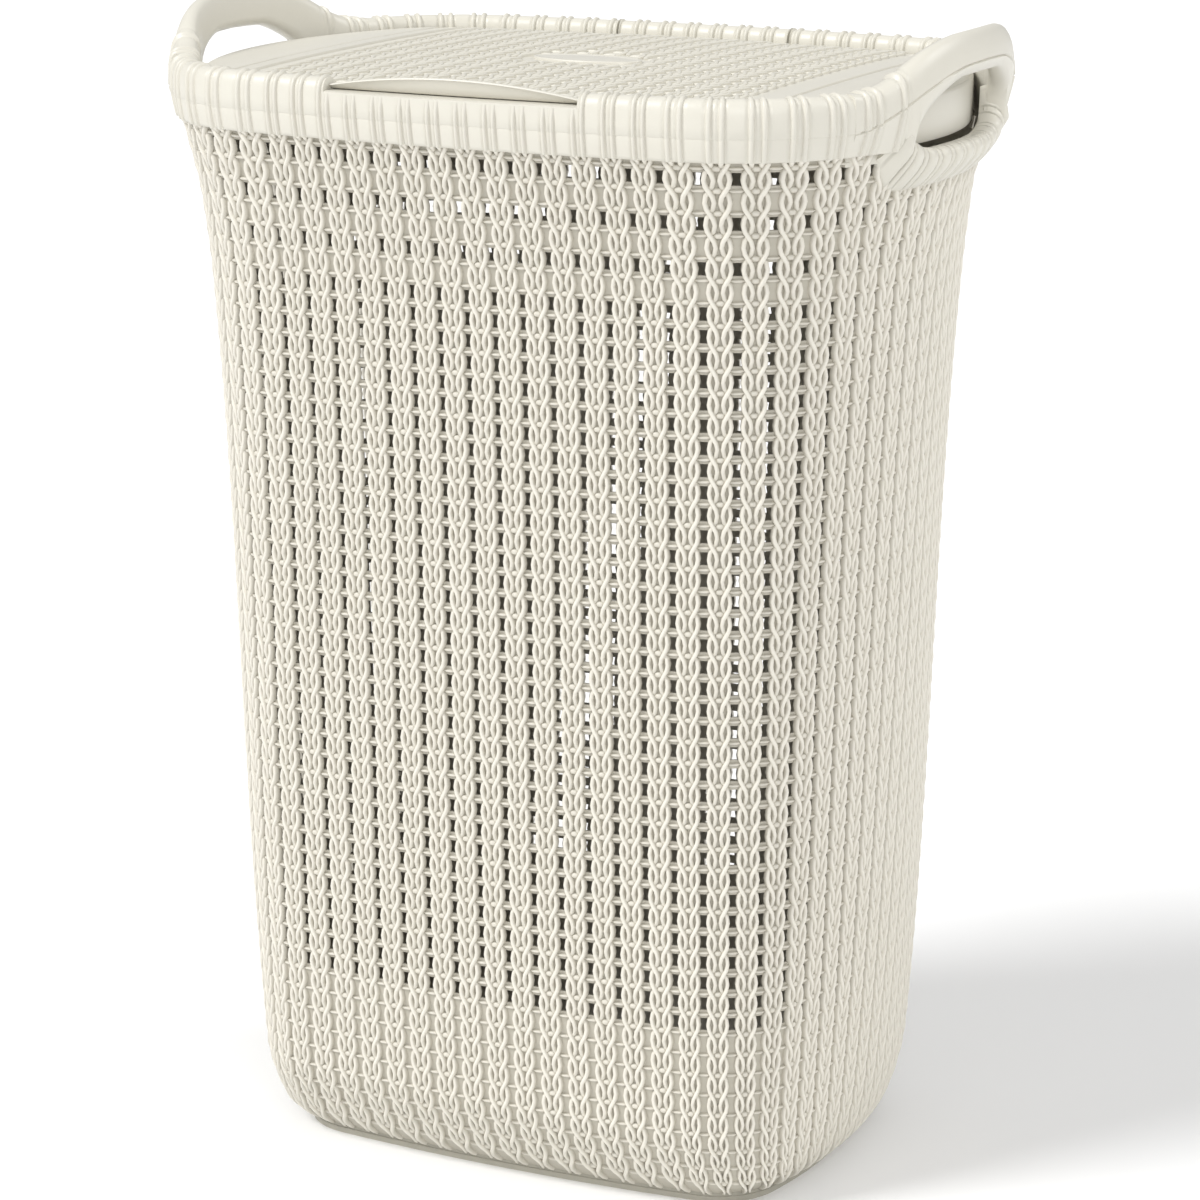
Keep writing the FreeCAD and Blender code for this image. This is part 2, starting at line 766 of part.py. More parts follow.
for side, sign in SIDES:
    pin = doc.addObject("Part::Cylinder", f"lid_hinge_pin_{side}")
    pin.Placement = FreeCAD.Placement(
        FreeCAD.Vector(), FreeCAD.Rotation(FreeCAD.Vector(0, 1, 0), 90)
    )
    bind(
        pin,
        Radius="pin_radius",
        Height="pin_length",
        Placement__Base__x=span(sign, "tab_half_width", "tab_half_width + pin_length")[0],
        Placement__Base__y="top_half_depth - hinge_inset",
        Placement__Base__z="hinge_height",
    )
    piece(pin)

badge_edge = doc.addObject("Part::Ellipse", "badge_edge")
bind(
    badge_edge,
    MajorRadius="badge_half_width",
    MinorRadius="badge_half_depth",
    Placement__Base__z="lid_crown_height",
)
badge = doc.addObject("Part::Extrusion", "lid_badge_plate")
badge.Base = badge_edge
badge.Dir = FreeCAD.Vector(0, 0, 1)
badge.Solid = True
bind(badge, LengthFwd="badge_thickness")
piece(badge)


# --- check and write -----------------------------------------------------------

doc.recompute()
failed = [o.Name for o in doc.Objects if "Invalid" in o.State or "Error" in o.State]
if failed:
    raise RuntimeError("failed: " + ", ".join(failed))
for thing in pieces:
    shape = thing.Shape
    if shape.isNull() or not shape.isValid() or not shape.Solids:
        raise RuntimeError(f"{thing.Label} has no valid solid")

os.makedirs("parts", exist_ok=True)
for thing in pieces:
    thing.Shape.exportStep(f"parts/{thing.Label}.step")
    extent = thing.Shape.BoundBox
    print(
        f"{thing.Label:24s} solids {len(thing.Shape.Solids)}  volume {thing.Shape.Volume:10.0f}"
        f"  x {extent.XMin:.1f}..{extent.XMax:.1f}  y {extent.YMin:.1f}..{extent.YMax:.1f}"
        f"  z {extent.ZMin:.1f}..{extent.ZMax:.1f}"
    )
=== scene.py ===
"""Builds the looks of a laundry hamper with a hinged lid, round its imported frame.

Shapes are worked out in millimetres and stored in metres. +Z is up, +X is the hamper's
right and the long front face, with the finger notch, looks along -Y.

The wall is a knit pattern in plastic. A wale is one column of stitches and a course is
one row. Wale lines are numbered round the outline: 0 is the middle of the front, and
17, 34 and 51 are the middles of the right end, the rear and the left end.
"""

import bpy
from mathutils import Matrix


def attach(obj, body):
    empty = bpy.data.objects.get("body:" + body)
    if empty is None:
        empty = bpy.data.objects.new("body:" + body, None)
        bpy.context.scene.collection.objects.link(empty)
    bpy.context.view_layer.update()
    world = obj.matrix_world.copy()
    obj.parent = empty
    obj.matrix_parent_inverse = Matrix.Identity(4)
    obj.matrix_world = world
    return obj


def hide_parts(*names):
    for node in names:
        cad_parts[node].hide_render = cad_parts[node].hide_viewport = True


bl_info = {
    "name": "Laundry hamper",
    "version": (1, 0, 0),
    "blender": (4, 5, 0),
    "location": "3D View > Sidebar > Hamper",
    "description": "Knit-look laundry hamper with a hinged lid, built round its packed frame",
    "category": "Add Mesh",
}

import math

import bpy
import numpy as np
from bpy.props import FloatProperty, FloatVectorProperty, PointerProperty
from mathutils import Vector

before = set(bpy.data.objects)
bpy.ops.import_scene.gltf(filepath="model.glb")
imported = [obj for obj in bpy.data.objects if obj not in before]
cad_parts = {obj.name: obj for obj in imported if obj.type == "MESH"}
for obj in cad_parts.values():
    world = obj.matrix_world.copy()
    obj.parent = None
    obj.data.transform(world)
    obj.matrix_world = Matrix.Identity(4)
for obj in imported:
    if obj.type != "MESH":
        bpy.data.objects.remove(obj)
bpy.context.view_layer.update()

MM = 0.001
FRONT_CROWN = 1100.0
HEIGHTS = np.array([0.0, 3, 8, 20, 50, 480, 522, 561])
# half width, half depth, corner radius and end crown at each of those heights
SECTIONS = np.array(
    [
        [146.0, 95, 36, 300], [148, 97, 38, 300], [155, 102, 40, 300], [162, 111, 44, 305],
        [168, 123, 51, 315], [192, 138, 77, 315], [199, 144, 79, 252], [212, 153, 80, 212],
    ]
)
WALL_TOP = HEIGHTS[-1]
RIM_END_RADIUS = SECTIONS[-1, 3]
WALES = 68
QUARTER = WALES // 4
FACE_WALES = 7  # wales from the middle of the front that keep one pitch
PITCH = 15.7
COURSE = 11.3
COURSES = 50
KNIT_TOP = 568.0
END_PITCH = 19.4  # of the wale lines along the rim at the ends
LID_INSET = -10.5
LID_EDGE_HEIGHT = 583.2
LID_CROWN = 3.8


# --- curves and the hamper's outline ----------------------------------------------


def smooth(x, knots, values):
    """Values at x on a curve through the knots that never overshoots them."""
    knots = np.asarray(knots, float)
    values = np.asarray(values, float)
    x = np.clip(np.asarray(x, float), knots[0], knots[-1])
    spans = np.diff(knots)
    wide = (slice(None),) + (None,) * (values.ndim - 1)
    slopes = np.diff(values, axis=0) / spans[wide]
    tangents = np.zeros_like(values)
    before, after = slopes[:-1], slopes[1:]
    total = before + after
    agree = before * after > 0
    tangents[1:-1] = np.where(agree, 2 * before * after / np.where(agree, total, 1), 0)
    tangents[0], tangents[-1] = slopes[0], slopes[-1]
    k = np.clip(np.searchsorted(knots, x, side="right") - 1, 0, len(spans) - 1)
    fill = (...,) + (None,) * (values.ndim - 1)
    span = spans[k][fill]
    t = ((x - knots[k]) / spans[k])[fill]
    low = (1 + 2 * t) * (1 - t) ** 2 * values[k] + t * (1 - t) ** 2 * span * tangents[k]
    return low + t**2 * (3 - 2 * t) * values[k + 1] + t**2 * (t - 1) * span * tangents[k + 1]


def outline(wale, height):
    """X, Y and the flat outward normal where a wale line crosses a height."""
    wale, height = np.broadcast_arrays(np.asarray(wale, float), np.asarray(height, float))
    half_width, half_depth, corner, end_crown = np.moveaxis(
        smooth(height, HEIGHTS, SECTIONS), -1, 0
    )
    side, face = end_crown - corner, FRONT_CROWN - corner
    side_x, face_y = half_width - end_crown, half_depth - FRONT_CROWN
    apart = np.hypot(side_x, face_y)
    along = (apart**2 + side**2 - face**2) / (2 * apart)
    across = np.sqrt(side**2 - along**2)
    cx = np.abs(side_x - along * side_x / apart - across * face_y / apart)
    cy = np.abs(along * face_y / apart - across * side_x / apart)
    side_turn = np.arctan2(cy, cx - side_x)
    face_turn = np.arctan2(cy - face_y, cx)
    face_run = FRONT_CROWN * (math.pi / 2 - face_turn)
    corner_run = corner * (face_turn - side_turn)
    quarter_run = face_run + corner_run + end_crown * side_turn
    fold = np.abs(np.mod(wale + QUARTER, 2 * QUARTER) - QUARTER)
    even = FACE_WALES * PITCH
    rest = (quarter_run - even) * (fold - FACE_WALES) / (QUARTER - FACE_WALES)
    run = np.where(fold < FACE_WALES, fold * PITCH, even + rest)
    stretch = [run < face_run, run < face_run + corner_run]
    turn = np.select(
        stretch,
        [math.pi / 2 - run / FRONT_CROWN, face_turn - (run - face_run) / corner],
        side_turn - (run - face_run - corner_run) / end_crown,
    )
    radius = np.select(stretch, [FRONT_CROWN + 0 * run, corner], end_crown)
    x = np.select(stretch, [0 * run, cx], side_x) + radius * np.cos(turn)
    y = np.select(stretch, [face_y, cy], 0 * run) + radius * np.sin(turn)
    place = np.mod(wale, WALES)
    east = np.where(place < 2 * QUARTER, 1.0, -1.0)
    north = np.where((place > QUARTER) & (place < 3 * QUARTER), 1.0, -1.0)
    return x * east, y * north, np.cos(turn) * east, np.sin(turn) * north


def on_wall(wale, height, lift):
    """Points lifted off the wall's outer face, square to it."""
    step = 0.5
    x, y, nx, ny = outline(wale, height)
    above, below = outline(wale, height + step), outline(wale, height - step)
    lean = (nx * (above[0] - below[0]) + ny * (above[1] - below[1])) / (2 * step)
    normal = np.stack([nx, ny, -lean], -1)
    normal /= np.linalg.norm(normal, axis=-1, keepdims=True)
    foot = np.stack(np.broadcast_arrays(x, y, height), -1)
    return foot + normal * np.asarray(lift)[..., None]


def on_rim(wale, height, offset):
    """Points at an offset from the outline of the wall's upper edge."""
    x, y, nx, ny = outline(wale, WALL_TOP)
    return np.stack(np.broadcast_arrays(x + nx * offset, y + ny * offset, height), -1)


def dome(x, y):
    """Height of the lid's smooth surface, and the share of the way out to its edge."""
    table = np.arange(0, WALES, 0.25)
    edge = on_rim(table, 0.0, LID_INSET)
    bearing = np.arctan2(edge[:, 1], edge[:, 0])
    order = np.argsort(bearing)
    reach = np.hypot(edge[:, 0], edge[:, 1])[order]
    limit = np.interp(np.arctan2(y, x), bearing[order], reach, period=2 * math.pi)
    share = np.hypot(x, y) / limit
    return LID_EDGE_HEIGHT + LID_CROWN * (1 - np.minimum(share, 1.0) ** 4), share


# --- meshes -----------------------------------------------------------------------


class Shell:
    """Collects closed tubes and grids, and turns them into one mesh object."""

    def __init__(self):
        self.points = []
        self.faces = []
        self.relief = []
        self.count = 0

    def add(self, points, faces, relief=1.0):
        """Faces is a list of integer arrays with one face a row. They are turned to face out.
        Relief is 1 on the crests and 0 at the bottom of the folds; the material paints shade into
        the colour where it is low."""
        corner = [points[f] for f in faces]
        volume = 0.0
        for c in corner:
            fan = np.cross(c[:, 1:-1], c[:, 2:])
            volume += np.einsum("ik,ijk->", c[:, 0], fan)
        turned = faces if volume > 0 else [f[:, ::-1] for f in faces]
        self.faces += [f + self.count for f in turned]
        self.points.append(points)
        self.relief.append(np.broadcast_to(relief, len(points)))
        self.count += len(points)

    def tubes(self, rings, relief=1.0):
        """Rings is (tubes, rings, sides, 3). The first and the last ring are closed by a face."""
        tubes, length, sides, _ = rings.shape
        index = np.arange(tubes * length * sides).reshape(tubes, length, sides)
        near, far = index[:, :-1], index[:, 1:]
        quads = np.stack(
            [near, np.roll(near, -1, axis=2), np.roll(far, -1, axis=2), far], -1
        ).reshape(-1, 4)
        faces = [quads, index[:, 0, ::-1], index[:, -1]]
        self.add(rings.reshape(-1, 3), faces, relief)

    def make(self, name, body, material, replaced=(), sharp=40):
        points = np.concatenate(self.points) * MM
        corners = np.concatenate([f.ravel() for f in self.faces])
        counts = np.concatenate([np.full(len(f), f.shape[1]) for f in self.faces])
        starts = np.concatenate([[0], np.cumsum(counts)[:-1]])
        mesh = bpy.data.meshes.new(name)
        mesh.vertices.add(len(points))
        mesh.vertices.foreach_set("co", points.astype(np.float32).ravel())
        mesh.loops.add(len(corners))
        mesh.loops.foreach_set("vertex_index", corners.astype(np.int32))
        mesh.polygons.add(len(counts))
        mesh.polygons.foreach_set("loop_start", starts.astype(np.int32))
        mesh.update(calc_edges=True)
        mesh.polygons.foreach_set("use_smooth", np.ones(len(counts), bool))
        # the relief attribute sets how much painted shade the material puts into the colour
        relief = mesh.attributes.new("relief", "FLOAT", "POINT")
        relief.data.foreach_set("value", np.concatenate(self.relief).astype(np.float32))
        if mesh.validate():
            raise RuntimeError(f"{name} has broken faces")
        mesh.set_sharp_from_angle(angle=math.radians(sharp))
        mesh.materials.append(material)
        made = bpy.data.objects.new(name, mesh)
        bpy.context.scene.collection.objects.link(made)
        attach(made, body)
        if replaced:
            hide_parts(*replaced)
        return made


def cord(path, section, base, widths=1.0):
    """Rings of a cord on a flat pattern. Path rows are across, down and lift in millimetres,
    section rows are across the cord and up, and widths scale them ring by ring. The first and
    last section points stand on the base."""
    path = np.asarray(path, float)
    along = np.gradient(path[:, :2], axis=0)
    along /= np.linalg.norm(along, axis=1, keepdims=True)
    across = np.stack([-along[:, 1], along[:, 0]], -1)
    scale = np.broadcast_to(widths, len(path))[:, None, None]
    flat = path[:, None, :2] + across[:, None] * section[None, :, :1] * scale
    lift = path[:, None, 2:] + section[None, :, 1:] * scale
    lift[:, [0, -1]] = base
    return np.concatenate([flat, lift], -1)


def mirrored(rings):
    return rings * np.array([-1.0, 1, 1])


# --- materials --------------------------------------------------------------------


class Value:
    """A number socket that takes part in sums."""

    def __init__(self, kit, socket):
        self.kit = kit
        self.socket = socket

    def _with(self, operation, first, second):
        node = self.kit.node("ShaderNodeMath", {"operation": operation}, {0: first, 1: second})
        return Value(self.kit, node.outputs[0])

    def __add__(self, other):
        return self._with("ADD", self, other)

    __radd__ = __add__

    def __mul__(self, other):
        return self._with("MULTIPLY", self, other)

    __rmul__ = __mul__


class Finish:
    """A material with one principled shader."""

    def __init__(self, name, **constants):
        self.material = bpy.data.materials.new(name)
        self.material.use_nodes = True
        self.tree = self.material.node_tree
        self.tree.nodes.clear()
        self.shader = self.node("ShaderNodeBsdfPrincipled", {}, constants)
        self.node("ShaderNodeOutputMaterial", {}, {0: self.shader.outputs[0]})
        self.place = self.node("ShaderNodeTexCoord").outputs["Object"]

    def node(self, kind, settings=None, inputs=None):
        made = self.tree.nodes.new(kind)
        for key, value in (settings or {}).items():
            setattr(made, key, value)
        for key, value in (inputs or {}).items():
            self.feed(made.inputs[key], value)
        return made

    def feed(self, socket, value):
        if isinstance(value, Value):
            value = value.socket
        if isinstance(value, bpy.types.NodeSocket):
            self.tree.links.new(value, socket)
        else:
            socket.default_value = value

    def noise(self, scale, detail):
        made = self.node(
            "ShaderNodeTexNoise", {}, {"Vector": self.place, "Scale": scale, "Detail": detail}
        )
        return Value(self, made.outputs["Fac"])

    def mix(self, factor, first, second):
        made = self.node(
            "ShaderNodeMix", {"data_type": "RGBA"}, {0: factor, 6: first, 7: second}
        )
        return made.outputs[2]

    def bump(self, height, distance):
        made = self.node("ShaderNodeBump", {}, {"Height": height, "Distance": distance})
        self.feed(self.shader.inputs["Normal"], made.outputs["Normal"])


def tinted(colour, amount):
    """The colour made darker, and a little warmer, by an amount."""
    return tuple(c * (1 - amount * k) for c, k in zip(colour, (0.85, 1.0, 1.3))) + (1.0,)


PAINTED_FOLD_SHADE = (0.6, 0.59, 0.555)  # painted shade: what is left of the colour at the bottom of a fold
CLOUDING = 0.07  # the most by which the colour darkens
GLOSS_SPREAD = 0.14


def moulded_plastic(name, colour, roughness, grain):
    """Moulded plastic: cloudy colour, uneven gloss and a fine spark-eroded grain, with painted
    shade in the folds. The colour goes down to the fold colour where the mesh's relief attribute is
    low, and all over where a mesh has none.
    """
    kit = Finish(name, IOR=1.49)
    clouds = kit.noise(14.0, 3.0)
    streaks = kit.noise(90.0, 2.0)
    blend = clouds * 0.7 + streaks * 0.3
    pale, deep = tinted(colour, 0.0), tinted(colour, CLOUDING)
    # painted shade: the colour is darkened towards the fold colour where the relief attribute is
    # low
    relief = kit.node("ShaderNodeAttribute", {"attribute_name": "relief"}).outputs["Fac"]
    fold = tuple(c * left for c, left in zip(colour, PAINTED_FOLD_SHADE)) + (1.0,)
    fold_shaded_colour = kit.mix(Value(kit, relief), fold, kit.mix(blend, deep, pale))
    kit.feed(kit.shader.inputs["Base Color"], fold_shaded_colour)
    gloss = streaks * GLOSS_SPREAD + (roughness - GLOSS_SPREAD / 2)
    kit.feed(kit.shader.inputs["Roughness"], gloss)
    kit.bump(kit.noise(1500.0, 4.0), grain)
    return kit.material


# --- what a user would change -----------------------------------------------------


class KnitSizes(bpy.types.PropertyGroup):
    """Sizes of the knit pattern."""

    strand: FloatProperty(
        name="Strand half width",
        description="Half the width of a strand, in millimetres",
        default=1.1,
        min=0.5,
        max=2.0,
    )
    strand_rise: FloatProperty(
        name="Strand rise",
        description="Height of a strand's crest over its middle line, in millimetres",
        default=0.9,
        min=0.3,
        max=1.5,
    )
    sheet_depth: FloatProperty(
        name="Sheet depth",
        description="How far the sheet behind the strands lies below their crests, in millimetres",
        default=2.9,
        min=1.2,
        max=3.5,
    )
    slot: FloatProperty(
        name="Slot half width",
        description="Half the width of a slot, as a share of the wale",
        default=0.145,
        min=0.05,
        max=0.2,
        subtype="FACTOR",
    )


class RimSizes(bpy.types.PropertyGroup):
    """Sizes of the band round the opening."""

    rib_rise: FloatProperty(
        name="Rib rise",
        description="Height of a rib over the band, in millimetres",
        default=1.15,
        min=0.0,
        max=1.5,
    )
    rib_width: FloatProperty(
        name="Rib half width",
        description="Half the width of a rib, as a share of the wale",
        default=0.07,
        min=0.03,
        max=0.1,
        subtype="FACTOR",
    )


class HamperColours(bpy.types.PropertyGroup):
    """Colours of the plastic and of the stage."""

    basket: FloatVectorProperty(
        name="Basket",
        description="Colour of the basket's plastic",
        default=(0.67, 0.65, 0.58),
        subtype="COLOR",
        min=0.0,
        max=1.0,
    )
    # painted light: the same plastic as the basket, made lighter on the knit so its crests read
    # brighter and make up for the painted shade in its folds
    knit: FloatVectorProperty(
        name="Knit crests",
        description="Colour of the crests of the knit wall",
        subtype="COLOR",
        default=(0.82, 0.79, 0.715),
        min=0.0,
        max=1.0,
    )
    lid: FloatVectorProperty(
        name="Lid",
        description="Colour of the lid's plastic",
        default=(0.67, 0.65, 0.58),
        subtype="COLOR",
        min=0.0,
        max=1.0,
    )
    floor: FloatVectorProperty(
        name="Floor",
        description="Colour of the floor and the backdrop",
        default=(0.93, 0.93, 0.93),
        subtype="COLOR",
        min=0.0,
        max=1.0,
    )


# --- knit -------------------------------------------------------------------------

# a strand's section: across and up, in half widths and rises
SECTION = np.array([[-1.1, 0], [-0.9, 0.2], [-0.45, 0.85], [0.45, 0.85], [0.9, 0.2], [1.1, 0]])
# a strand's path: across as a share of the wale, down as a share of the course, lift in mm
STRAND = np.array(
    [
        [0.290, 0.03, -2.2], [0.205, 0.20, -1.25], [0.168, 0.50, -1.0],
        [0.208, 0.78, -0.8], [0.290, 1.00, -0.6], [0.375, 1.22, -0.8],
        [0.420, 1.50, -1.1], [0.375, 1.80, -1.6], [0.290, 1.97, -2.4],
    ]
)
# the last stretch of a strand that comes out from under the band
TAIL = np.array(
    [
        [0.345, 0.50, 1.5], [0.350, 0.62, 1.0], [0.375, 0.74, 0.0],
        [0.370, 0.85, -1.1], [0.290, 0.97, -2.3],
    ]
)
BASE_DEPTH = 0.5  # how far strands reach into the sheet
SHEET_THICKNESS = 1.2
LAST_OPEN = 40  # the last course with slots
HOLE_WALES = 3  # wale lines each side of an end's middle that start below the hand hole


def strand_rings(sizes, path=STRAND):
    path = path * np.array([PITCH, COURSE, 1])
    section = SECTION * np.array([sizes.strand, sizes.strand_rise])
    return cord(path, section, -sizes.sheet_depth - BASE_DEPTH)


def bar_rings(sizes, centre, reach, lift, width, rise, taper):
    """A short bar across the wale at the top of a course."""
    steps = np.array([-1, -0.45, 0.45, 1])
    drop = np.array([0.7, 0, 0, 0.7]) * rise
    path = np.stack([(centre + reach * steps) * PITCH, 0 * steps, lift - drop], -1)
    section = SECTION * np.array([width, rise])
    base = -sizes.sheet_depth - BASE_DEPTH
    return cord(path, section, base, np.array([taper, 1, 1, taper]))


def lay(shell, rings, wales, rows, sizes):
    """Adds copies of a pattern's rings, one for each wale line and row, to the wall."""
    wale = wales[:, None, None] + rings[None, ..., 0] / PITCH
    height = KNIT_TOP - COURSE * (rows[:, None, None] + rings[None, ..., 1] / COURSE)
    lift = np.broadcast_to(rings[None, ..., 2], wale.shape)
    depth = sizes.sheet_depth
    # depth share of each point, which sets the painted shade on the strands' flanks
    relief = np.clip((lift.ravel() + depth) / (depth + sizes.strand_rise), 0, 1)
    shell.tubes(on_wall(wale, height, lift), relief)


def stitches(columns, rows):
    """Each column and row of a block of stitches, in two flat lists."""
    return [grid.ravel() for grid in np.meshgrid(columns, rows, indexing="ij")]


def slot_is_open(row):
    """Near the band every other course has slots, then every course, and none at the foot."""
    return np.isin(row, (1, 3, 5, 7)) | ((row > 7) & (row <= LAST_OPEN))


def sheet(shell, first, last, top_row, sizes):
    """The sheet that carries the strands, with its slots, over whole wales and courses. Its relief
    is 0, so all of it takes the painted fold shade.
    """
    wales = np.arange(first, last + 1)
    rows = np.arange(top_row, COURSES)
    cuts_across = np.array([-0.5, -sizes.slot, sizes.slot])
    cuts_down = np.array([0, 0.2, 0.8])
    line = np.append((wales[:, None] + cuts_across).ravel(), last + 0.5)
    level = np.append((rows[:, None] + cuts_down).ravel(), COURSES)
    wide, tall = len(line), len(level)
    depth = -sizes.sheet_depth - np.array([0, SHEET_THICKNESS])
    grid = np.meshgrid(line, KNIT_TOP - COURSE * level, depth, indexing="ij")
    points = on_wall(*grid).reshape(-1, 3)
    index = np.arange(wide * tall * 2).reshape(wide, tall, 2)
    solid = np.ones((wide - 1, tall - 1), bool)
    solid[1::3, 1::3] = ~slot_is_open(rows)
    quads = []
    for side in (0, 1):
        skin = index[..., side]
        face = [skin[:-1, :-1], skin[1:, :-1], skin[1:, 1:], skin[:-1, 1:]]
        quads.append(np.stack(face if side else face[::-1], -1)[solid])
    padded = np.pad(solid, 1)
    upright = (padded[1:, 1:-1], padded[:-1, 1:-1], index[:, :-1], index[:, 1:], 1)
    level = (padded[1:-1, 1:], padded[1:-1, :-1], index[:-1], index[1:], -1)
    for here, before, edge, ahead, turn in (upright, level):
        wall = np.stack([edge[..., 0], ahead[..., 0], ahead[..., 1], edge[..., 1]], -1)
        quads.append(wall[here & ~before][:, ::turn])
        quads.append(wall[before & ~here][:, ::-turn])
    # relief 0: the whole sheet is painted in the fold shade
    shell.add(points, [np.concatenate(quads)], 0.0)


def wall_corner(place):
    """The nodes of one corner of the wall, from the foot up."""
    return tuple(f"wall_corner_{place}_{part}" for part in ("foot", "lower", "upper", "flare"))


KNIT_PARTS = (
    # piece, first and last wale line, first course, replaced nodes
    ("knit_front_left", -7, -1, 0, ("wall_front_left", "wall_front_middle")),
    ("knit_front_right", 0, 7, 0, ("wall_front_right",)),
    ("knit_corner_front_right", 8, 12, 0, wall_corner("front_right")),
    ("knit_end_right", 13, 21, 1, ("wall_right_front", "wall_right_middle", "wall_right_rear")),
    ("knit_corner_rear_right", 22, 26, 0, wall_corner("rear_right")),
    ("knit_rear_right", 27, 33, 0, ("wall_rear_right",)),
    ("knit_rear_left", 34, 41, 0, ("wall_rear_middle", "wall_rear_left")),
    ("knit_corner_rear_left", 42, 46, 0, wall_corner("rear_left")),
    ("knit_end_left", 47, 55, 1, ("wall_left_front", "wall_left_middle", "wall_left_rear")),
    ("knit_corner_front_left", 56, 60, 0, wall_corner("front_left")),
)


class HAMPER_OT_knit(bpy.types.Operator):
    """Make the knit wall: the slotted sheet with its strands, bars and links"""

    bl_idname = "hamper.knit"
    bl_label = "Knit wall"

    def execute(self, context):
        sizes = context.scene.hamper_knit
        # the knit's colour is a lighter, painted-light copy of the basket's plastic
        colour = context.scene.hamper_colours.knit
        material = moulded_plastic("ivory_knit_plastic", colour, 0.45, 0.00004)
        strand = strand_rings(sizes)
        tail = strand_rings(sizes, TAIL)
        bar = bar_rings(sizes, 0.0, 0.21, -1.9, 0.75, 0.8, 0.6)
        link = bar_rings(sizes, 0.5, 0.15, -1.75, 1.5, 0.8, 0.35)
        for name, first, last, top_row, replaced in KNIT_PARTS:
            shell = Shell()
            sheet(shell, first, last, top_row, sizes)
            wales = np.arange(first, last + 1)
            wale, row = stitches(wales, np.arange(COURSES - 1))
            past_hole = np.abs(np.mod(wale, 2 * QUARTER) - QUARTER) > HOLE_WALES
            clear = (row >= top_row) | past_hole
            for rings in (strand, mirrored(strand)):
                lay(shell, rings, wale[clear], row[clear], sizes)
            if top_row == 0:
                for rings in (tail, mirrored(tail)):
                    lay(shell, rings, wales, 0 * wales, sizes)
            wale, row = stitches(wales, np.arange(top_row + 1, COURSES))
            lay(shell, bar, wale, row, sizes)
            lay(shell, link, wale, row, sizes)
            shell.make(name, "basket", material, replaced, sharp=60)
        return {"FINISHED"}


# --- band round the opening -------------------------------------------------------

RIB_SHIFT = 0.155  # ribs stand in pairs, this far either side of the line between wales
# offset from the wall's outline and height, from the lower edge over the top to the inside
BAND_LOOP = np.array(
    [
        [-3.0, 560.2], [0.5, 560.2], [1.3, 560.8], [1.7, 562.0],
        [2.6, 566.8], [3.3, 571.2], [3.2, 571.9], [3.55, 572.4],
        [3.7, 578.0], [3.5, 583.5], [3.0, 586.3], [1.7, 588.9],
        [-0.4, 590.5], [-3.0, 591.0], [-5.3, 590.6], [-7.3, 589.1],
        [-8.6, 586.4], [-9.0, 583.0], [-9.0, 576.0], [-9.0, 568.0],
        [-9.0, 561.0],
    ]
)
# a rib's section: distance from its middle, as a share of its half width, and height; it lies
# in a shallow groove
RIB_SECTION = ((0, 0.4, 0.75, 1.0, 1.5, 1.9), (1, 0.92, 0.55, -0.3, -0.3, 0))


def rib_height(wale, sizes):
    """Height of the ribs at wale lines, over the plain surface."""
    off = np.abs(np.abs(np.mod(wale, 1.0) - 0.5) - RIB_SHIFT) / sizes.rib_width
    return sizes.rib_rise * np.interp(off, *RIB_SECTION)


def rib_columns(first, last, sizes):
    """Wale lines between two ends, close together over the ribs."""
    t = np.array(RIB_SECTION[0])
    gaps = np.arange(math.floor(first) - 1, math.ceil(last) + 1) + 0.5
    centres = np.concatenate([gaps - RIB_SHIFT, gaps + RIB_SHIFT])
    ribs = (centres[:, None] + sizes.rib_width * np.concatenate([-t[1:], t])).ravel()
    plain = (gaps[:, None] + np.array([0, 0.35, 0.5, 0.65])).ravel()
    columns = np.concatenate([ribs, plain])
    columns = columns[(columns > first + 0.01) & (columns < last - 0.01)]
    return np.unique(np.concatenate([columns, [first, last]]).round(5))


def swell(run):
    """How much further out the band's outer face stands at a distance from the end's middle."""
    return smooth(run, (0, 53, 71, 90, 105, 122), (8.5, 7.7, 6.2, 3.6, 1.4, 0))


def end_run(wale):
    """Distance along the rim from the middle of the nearer end."""
    fold = np.abs(np.mod(wale, 2 * QUARTER) - QUARTER)
    return fold * END_PITCH


def loop_normals(loop):
    ahead = np.roll(loop, -1, axis=0) - np.roll(loop, 1, axis=0)
    normal = np.stack([ahead[:, 1], -ahead[:, 0]], -1)
    return normal / np.linalg.norm(normal, axis=1, keepdims=True)


def band(shell, first, last, sizes, loop=BAND_LOOP, ribbed=1.0):
    """A run of band between two wale lines. Ribbed is 0 where the loop carries no ribs."""
    columns = rib_columns(first, last, sizes)
    rise = rib_height(columns, sizes)
    normal = loop_normals(loop)
    share = ribbed * (loop[:, 1] > BAND_FOOT)
    offset = loop[:, 0] + rise[:, None] * normal[:, 0] * share
    height = loop[:, 1] + rise[:, None] * normal[:, 1] * share
    outside = np.clip((loop[:, 0] + 3.0) / 6.5, 0, 1)
    offset = offset + swell(end_run(columns))[:, None] * outside
    shell.tubes(on_rim(columns[:, None], height, offset)[None])


def lowered(loop, top, edge):
    """The loop cut down to a lower top, with a small rounding at its outer edge."""
    cut = loop.copy()
    high = cut[:, 1] > top - edge
    cut[high, 1] = top - edge * np.clip((cut[high, 0] - 3.6 + edge) / edge, 0, 1) ** 2
    cut[high & (cut[:, 0] > 2.5), 0] = 3.5
    return cut


BAND_FOOT = 560.5
NOTCH = 70.6 / PITCH  # wale lines from the middle, to the notch's ends
NOTCH_FLOOR = 584.7
NOTCH_RIB_TOP = 583
TAB_EDGE = 51.9 / PITCH  # to the sides of the segment that turns with the lid
TAB_FOOT = 566.0
SLIT_EDGE = 53.2 / PITCH


